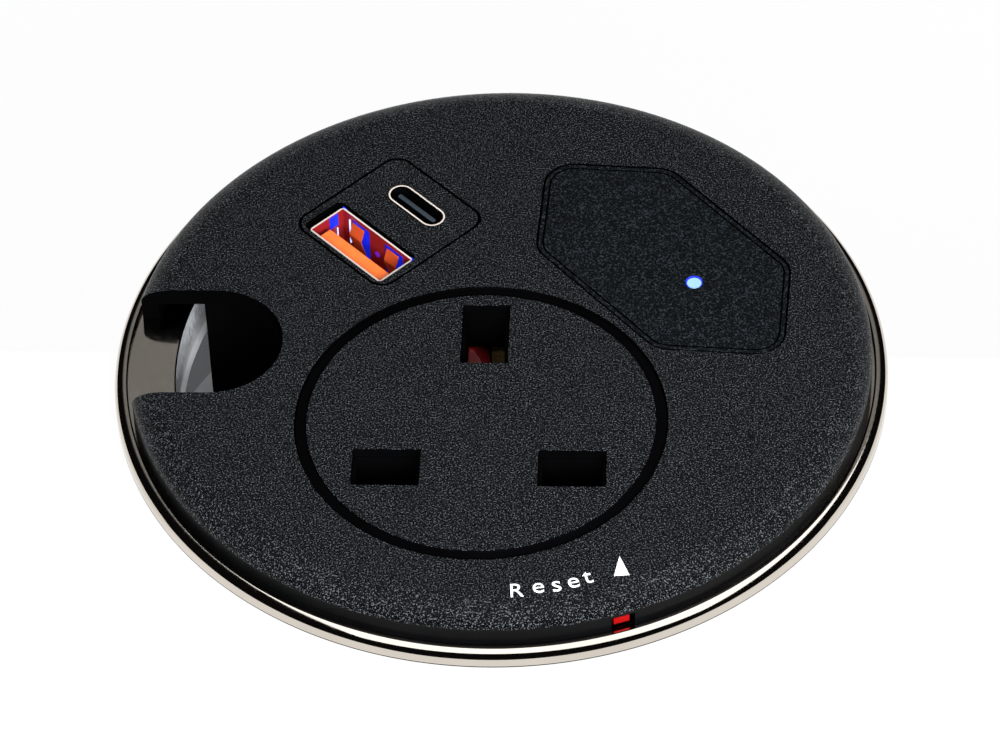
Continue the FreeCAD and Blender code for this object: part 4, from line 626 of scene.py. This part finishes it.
def outline_groove(node, hole_mm):
    """A narrow upright band that follows a plate's outline, a little in from its edge."""
    edge, wide, deep = PANEL_GROOVE
    above, hole_reach = 0.2, 3.0
    plate = copy_of(node, "outline_tool")
    only(plate)
    top = max(corner.co.z for corner in plate.data.vertices)
    bpy.ops.object.mode_set(mode="EDIT")
    bpy.ops.mesh.select_mode(type="VERT")
    bpy.ops.mesh.select_all(action="DESELECT")
    bpy.ops.object.mode_set(mode="OBJECT")
    for corner in plate.data.vertices:
        corner.select = corner.co.z > top - 0.02 * MM
    bpy.ops.object.mode_set(mode="EDIT")
    bpy.ops.mesh.select_mode(type="FACE")
    bpy.ops.mesh.region_to_loop()
    bpy.ops.mesh.duplicate()
    bpy.ops.mesh.separate(type="SELECTED")
    bpy.ops.mesh.select_mode(type="VERT")
    bpy.ops.object.mode_set(mode="OBJECT")
    band = [piece for piece in bpy.context.selected_objects if piece != plate][0]
    bpy.data.objects.remove(plate)
    only(band)
    for corner in band.data.vertices:
        corner.select = math.dist((corner.co.x / MM, corner.co.y / MM), hole_mm) < hole_reach
    bpy.ops.object.mode_set(mode="EDIT")
    bpy.ops.mesh.delete(type="VERT")
    bpy.ops.mesh.select_all(action="SELECT")
    bpy.ops.mesh.edge_face_add()
    bpy.ops.mesh.select_mode(type="FACE")
    bpy.ops.mesh.select_all(action="SELECT")
    bpy.ops.mesh.inset(thickness=edge * MM)
    bpy.ops.mesh.select_all(action="INVERT")
    bpy.ops.mesh.delete(type="FACE")
    bpy.ops.mesh.select_all(action="SELECT")
    bpy.ops.mesh.inset(thickness=wide * MM)
    bpy.ops.mesh.delete(type="FACE")
    bpy.ops.mesh.select_all(action="SELECT")
    bpy.ops.transform.translate(value=(0, 0, above * MM))
    bpy.ops.mesh.extrude_region_move(
        TRANSFORM_OT_translate={"value": (0, 0, -(above + deep) * MM)})
    bpy.ops.mesh.select_mode(type="VERT")
    bpy.ops.mesh.select_all(action="SELECT")
    bpy.ops.mesh.normals_make_consistent(inside=False)
    bpy.ops.object.mode_set(mode="OBJECT")
    return band


def inside_of_opening(at, way):
    """Walls and floors below the top surface, but not the cap's rounded rim; these get painted
    shade.
    """
    if math.hypot(at.x, at.y) > CAP_SHOULDER_R - 0.2 and way.z > -0.2:
        near_rim = at.x * way.x + at.y * way.y > 0.35 * math.hypot(at.x, at.y)
        if near_rim or way.z > 0.2:
            return False
    return abs(way.z) < 0.2 or at.z < CAP_TOP - 0.1


def edge_of_opening(at, way):
    """The broken edges round the cap's openings, which keep to the flat top; these get painted
    shade.
    """
    return math.hypot(at.x, at.y) < CAP_SHOULDER_R - 0.1 and way.z < 0.93


def outer_skirt(at, way):
    """The cap's upright outside, below its shoulder."""
    reach = math.hypot(at.x, at.y)
    outward = at.x * way.x + at.y * way.y > 0.9 * reach
    return reach > CAP_SKIRT_R and at.z < CAP_SHOULDER_Z and outward


def beside_passage(at, way):
    """The housing's hollow side along the cable passage, which gets painted shade."""
    return at.x < -20.0 and abs(at.y) < 12.0 and math.hypot(at.x, at.y) < 38.5 and way.z < 0.5


def drawn_in(piece, middle_mm, share):
    """Makes a piece a little smaller across, round its own middle."""
    only(piece)
    bpy.ops.object.mode_set(mode="EDIT")
    bpy.ops.mesh.select_all(action="SELECT")
    bpy.ops.transform.resize(value=(share, share, 1),
                             center_override=(middle_mm[0] * MM, middle_mm[1] * MM, 0))
    bpy.ops.object.mode_set(mode="OBJECT")


build_ring()
build_moulded_parts()


# The charger's sockets, in the charger's own directions

def charger_point(x, y, z):
    """A place on the charger, in its own millimetres, as a place in the scene."""
    cos, sin = math.cos(USB_TURN), math.sin(USB_TURN)
    return Vector(((USB_PLACE[0] + x * cos - y * sin) * MM,
                   (USB_PLACE[1] + x * sin + y * cos) * MM, z * MM))


def charger_step(x, y, z):
    return charger_point(x, y, z) - charger_point(0, 0, 0)


def charger_block(name, low, high):
    """A box between two corners given in the charger's own millimetres."""
    only(NODES["usb_insert"])
    middle = [(a + b) / 2 for a, b in zip(low, high)]
    bpy.ops.mesh.primitive_cube_add(size=1, location=charger_point(*middle),
                                    rotation=(0, 0, USB_TURN))
    piece = bpy.context.active_object
    piece.name = name
    piece.scale = [(b - a) * MM for a, b in zip(low, high)]
    bpy.ops.object.transform_apply(location=True, rotation=True, scale=True)
    return piece


def faces_inward(middle):
    """Picks the upright faces that look towards an upright line through a place."""
    x, y = middle.x / MM, middle.y / MM
    return lambda at, way: abs(way.z) < 0.5 and (x - at.x) * way.x + (y - at.y) * way.y > 0


def glow(name, low, high, finish):
    piece = charger_block(name, low, high)
    piece.data.materials.append(MATERIALS[finish])
    settle(piece, "module", "led_blue")


def build_spring_finger(name, x):
    """A sprung strip that bulges into the socket through a window in its shell."""
    only(NODES["usb_insert"])
    bpy.ops.mesh.primitive_plane_add(size=1, location=charger_point(x, *FINGER_TOP),
                                     rotation=(0, 0, USB_TURN))
    piece = bpy.context.active_object
    piece.name = name
    piece.scale = (FINGER_WIDE * MM, FINGER_THICK * MM, 1)
    bpy.ops.object.transform_apply(location=True, rotation=True, scale=True)
    bpy.ops.object.mode_set(mode="EDIT")
    bpy.ops.mesh.select_all(action="SELECT")
    for y, z in FINGER_STEPS:
        bpy.ops.mesh.extrude_region_move(TRANSFORM_OT_translate={"value": charger_step(0, y, z)})
    bpy.ops.mesh.select_all(action="SELECT")
    bpy.ops.mesh.normals_make_consistent(inside=False)
    bpy.ops.object.mode_set(mode="OBJECT")
    break_edges(piece, 0.04, 20.0, 1)
    piece.data.materials.append(MATERIALS["spring_finger"])
    settle(piece, "module", "nickel")


def build_charger_sockets():
    wide = copy_of("usb_a_shell", "charger_wide_shell")
    for x in WINDOWS_AT:
        cut_away(wide, charger_block("window", (x - WINDOW_HALF, *WINDOW_LOW),
                                     (x + WINDOW_HALF, *WINDOW_HIGH)))
    middle = charger_point(*USB_A_AT, 0)
    # Painted red light on the wide shell's inside walls
    paint(wide, "shell_inside", faces_inward(middle))
    paint(wide, "shell_rim", lambda at, way: way.z > 0.9 and at.z > USB_A_TOP - 0.2)
    only(wide)
    bpy.ops.object.shade_smooth_by_angle(angle=math.radians(30))
    settle(wide, "module", "nickel", "usb_a_shell")
    for number, x in enumerate(FINGERS_AT):
        build_spring_finger("spring_finger_%d" % (number + 1), x)

    small = softened("usb_c_shell")
    middle = charger_point(*USB_C_AT, 0)
    # Painted shade on the small socket's inside walls
    paint(small, "painted_shade_black", faces_inward(middle))
    paint(small, "shell_rim", lambda at, way: way.z > 0.5 and at.z > USB_C_RIM)

    softened("usb_a_tongue", segments=3)
    blade = softened("usb_c_tongue")
    # Painted shade on all but the top of the small tongue
    paint(blade, "painted_shade_black", lambda at, way: way.z < 0.9)

    for strip in GLOWS:
        glow(*strip)
    # A violet spot between the fingers: a painted highlight that glows
    only(NODES["usb_insert"])
    bpy.ops.mesh.primitive_cylinder_add(vertices=32, radius=SPOT_R * MM, depth=SPOT_THICK * MM,
                                        location=charger_point(*SPOT_AT),
                                        rotation=(math.pi / 2, 0, USB_TURN))
    spot = bpy.context.active_object
    spot.name = "glow_between"
    spot.data.materials.append(MATERIALS["violet_painted_highlight"])
    settle(spot, "module", "led_blue")


build_charger_sockets()


# Printed marking by the reset tab

def place_letter(sign, angle, baseline_r, cap_height):
    """One letter laid flat above the cap, upright towards the middle."""
    turn = math.radians(angle)
    place = (baseline_r * MM * math.cos(turn), baseline_r * MM * math.sin(turn), MARKING_Z * MM)
    bpy.ops.object.text_add(location=place, rotation=(0, 0, turn + math.pi / 2))
    letter = bpy.context.active_object
    letter.data.body = sign
    letter.data.size = cap_height / FONT_CAP * MM
    letter.data.align_x = "CENTER"
    letter.data.resolution_u = 6
    bpy.ops.object.convert(target="MESH")
    return bpy.context.active_object


def build_marking():
    only(NODES["top_cap"])
    parts = [place_letter(*letter) for letter in MARKING]
    bpy.ops.object.select_all(action="DESELECT")
    bpy.ops.mesh.primitive_circle_add(vertices=3, radius=MM, fill_type="NGON",
                                      location=(ARROW_AT[0] * MM, ARROW_AT[1] * MM, MARKING_Z * MM),
                                      rotation=(0, 0, math.radians(ARROW_TURN)))
    arrow = bpy.context.active_object
    arrow.scale = (*ARROW_SIZE, 1)
    only(arrow, *parts)
    bpy.ops.object.transform_apply(location=True, rotation=True, scale=True)
    bpy.ops.object.join()
    arrow.name = "reset_marking"
    bpy.ops.object.mode_set(mode="EDIT")
    bpy.ops.mesh.select_all(action="SELECT")
    bpy.ops.mesh.remove_doubles(threshold=WELD * MM)
    bpy.ops.mesh.quads_convert_to_tris()
    bpy.ops.mesh.subdivide(number_cuts=2)
    bpy.ops.object.mode_set(mode="OBJECT")
    lay = arrow.modifiers.new("laid_on", "SHRINKWRAP")
    lay.target = bpy.data.objects["cap_shell"]
    lay.wrap_method = "PROJECT"
    lay.use_project_z = True
    lay.use_negative_direction = True
    bpy.ops.object.modifier_apply(modifier=lay.name)
    ink = arrow.modifiers.new("ink", "SOLIDIFY")
    ink.thickness = INK_THICK * MM
    ink.offset = INK_OFFSET
    bpy.ops.object.modifier_apply(modifier=ink.name)
    bpy.ops.object.mode_set(mode="EDIT")
    bpy.ops.mesh.select_all(action="SELECT")
    bpy.ops.mesh.normals_make_consistent(inside=False)
    bpy.ops.object.mode_set(mode="OBJECT")
    arrow.data.materials.append(MATERIALS["marking"])
    settle(arrow, "module", "carrier_white")


build_marking()


# The springs, copied from their nodes

def build_spring(node):
    """The node's coil again, as a loose copy of its mesh."""
    coil = copy_of(node, node + "_coil")
    settle(coil, "module", slot_of(node), node)
    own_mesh(coil)


build_spring("shutter_spring")
build_spring("reset_spring")


# Stage and light

def stage_material(name):
    """White to the camera and in reflections, and plain paper to everything else."""
    material, tree, shader = new_material(name)
    shader.inputs["Base Color"].default_value = (*PAPER, 1.0)
    shader.inputs["Roughness"].default_value = 0.9
    glow = add(tree, "ShaderNodeEmission", {"Color": (1, 1, 1, 1), "Strength": 1.0})
    path = add(tree, "ShaderNodeLightPath")
    mix = add(tree, "ShaderNodeMixShader")
    seen = combined(tree, "ADD", path.outputs["Is Camera Ray"], path.outputs["Is Glossy Ray"])
    seen = combined(tree, "ADD", seen, path.outputs["Is Transmission Ray"])
    tree.links.new(map_range(tree, seen, 0, 1, 0, WHITE_SHARE), mix.inputs[0])
    tree.links.new(shader.outputs[0], mix.inputs[1])
    tree.links.new(glow.outputs[0], mix.inputs[2])
    tree.links.new(mix.outputs[0], tree.nodes["Material Output"].inputs["Surface"])
    return material


def flat_ring(name, inner_mm, outer_mm, z_mm, cut_behind_mm, middle_y_mm=0.0):
    """A flat stage ring round the module, cut off behind a line."""
    only(NODES["top_cap"])
    bpy.ops.mesh.primitive_circle_add(vertices=128, radius=inner_mm * MM,
                                      location=(0, 0, z_mm * MM))
    card = bpy.context.active_object
    card.name = name
    bpy.ops.object.mode_set(mode="EDIT")
    bpy.ops.mesh.select_all(action="SELECT")
    bpy.ops.mesh.extrude_edges_move(TRANSFORM_OT_translate={"value": (0, 0, 0)})
    grow = outer_mm / inner_mm
    bpy.ops.transform.resize(value=(grow, grow, 1), center_override=(0, 0, z_mm * MM))
    bpy.ops.mesh.select_all(action="SELECT")
    bpy.ops.transform.translate(value=(0, middle_y_mm * MM, 0))
    bpy.ops.mesh.bisect(plane_co=(0, cut_behind_mm * MM, 0), plane_no=(0, 1, 0),
                        clear_outer=True)
    bpy.ops.object.mode_set(mode="OBJECT")
    return card


def plain_card(piece, name, colour):
    material, tree, shader = new_material(name)
    shader.inputs["Base Color"].default_value = (*colour, 1.0)
    shader.inputs["Roughness"].default_value = 1.0
    shader.inputs["Specular IOR Level"].default_value = 0.0
    piece.data.materials.append(material)


def build_stage():
    lowest = cad_low[2]
    only(NODES["top_cap"])
    bpy.ops.mesh.primitive_plane_add(size=FLOOR_SIZE * MM,
                                     location=(0, 0, lowest - FLOOR_DROP * MM))
    floor = bpy.context.active_object
    floor.name = "studio_floor"
    floor.data.materials.append(stage_material("studio_paper"))
    card = flat_ring("desk_card", *DESK_CARD)
    card.data.materials.append(stage_material("desk_paper"))
    velvet = flat_ring("reflection_card", *VELVET_CARD)
    velvet.visible_camera = False
    velvet.visible_diffuse = False
    velvet.visible_shadow = False
    plain_card(velvet, "black_velvet", (0.002, 0.002, 0.002))
    # Painted shade: a grey card on the floor, seen through the passage where the module shades it
    only(NODES["top_cap"])
    bpy.ops.mesh.primitive_plane_add(size=1, location=(SHADE_CARD_AT[0] * MM, SHADE_CARD_AT[1] * MM,
                                                       lowest - SHADE_CARD_DROP * MM))
    mat = bpy.context.active_object
    mat.name = "floor_shade_card"
    mat.scale = (SHADE_CARD_SIZE[0] * MM, SHADE_CARD_SIZE[1] * MM, 1)
    plain_card(mat, "painted_floor_shade", (0.17, 0.17, 0.175))


def build_world():
    """A dark studio with one dim grey patch, high up behind the module."""
    world = bpy.data.worlds.new("studio_world")
    bpy.context.scene.world = world
    world.use_nodes = True
    tree = world.node_tree
    coords = add(tree, "ShaderNodeTexCoord")
    parts = add(tree, "ShaderNodeSeparateXYZ")
    tree.links.new(coords.outputs["Generated"], parts.inputs[0])
    height = map_range(tree, parts.outputs["Z"], *WORLD_BAND, 0, 1)
    across = add(tree, "ShaderNodeMath", operation="ABSOLUTE")
    tree.links.new(parts.outputs["X"], across.inputs[0])
    middle = map_range(tree, across.outputs[0], *WORLD_SIDES, 0, 1)
    behind = map_range(tree, parts.outputs["Y"], *WORLD_BEHIND, 0, 1)
    patch = combined(tree, "MULTIPLY", combined(tree, "MULTIPLY", height, middle), behind)
    colour = blend_colours(tree, patch, WORLD_DARK, WORLD_GREY)
    tree.links.new(colour, tree.nodes["Background"].inputs["Color"])


def soft_lamp(name, place, aim, size, power):
    """A rectangular lamp; places and sizes in metres."""
    data = bpy.data.lights.new(name, "AREA")
    data.shape = "RECTANGLE"
    data.size, data.size_y = size
    data.energy = power
    data.color = LAMP_TINT
    lamp = bpy.data.objects.new(name, data)
    bpy.context.scene.collection.objects.link(lamp)
    lamp.location = place
    lamp.rotation_euler = (Vector(aim) - Vector(place)).to_track_quat("-Z", "Y").to_euler()
    return lamp


build_stage()
build_world()
soft_lamp("overhead_box", place=(0.105, 0.3, 0.745), aim=(0.105, 0.784, 0.0),
          size=(0.7, 1.46), power=5.8)
fill = soft_lamp("front_fill", place=(0.06, -0.24, 0.15), aim=(0.01, -0.03, 0.0),
                 size=(0.3, 0.1), power=2.2)
fill.visible_glossy = False

bpy.context.scene.view_settings.view_transform = "Standard"
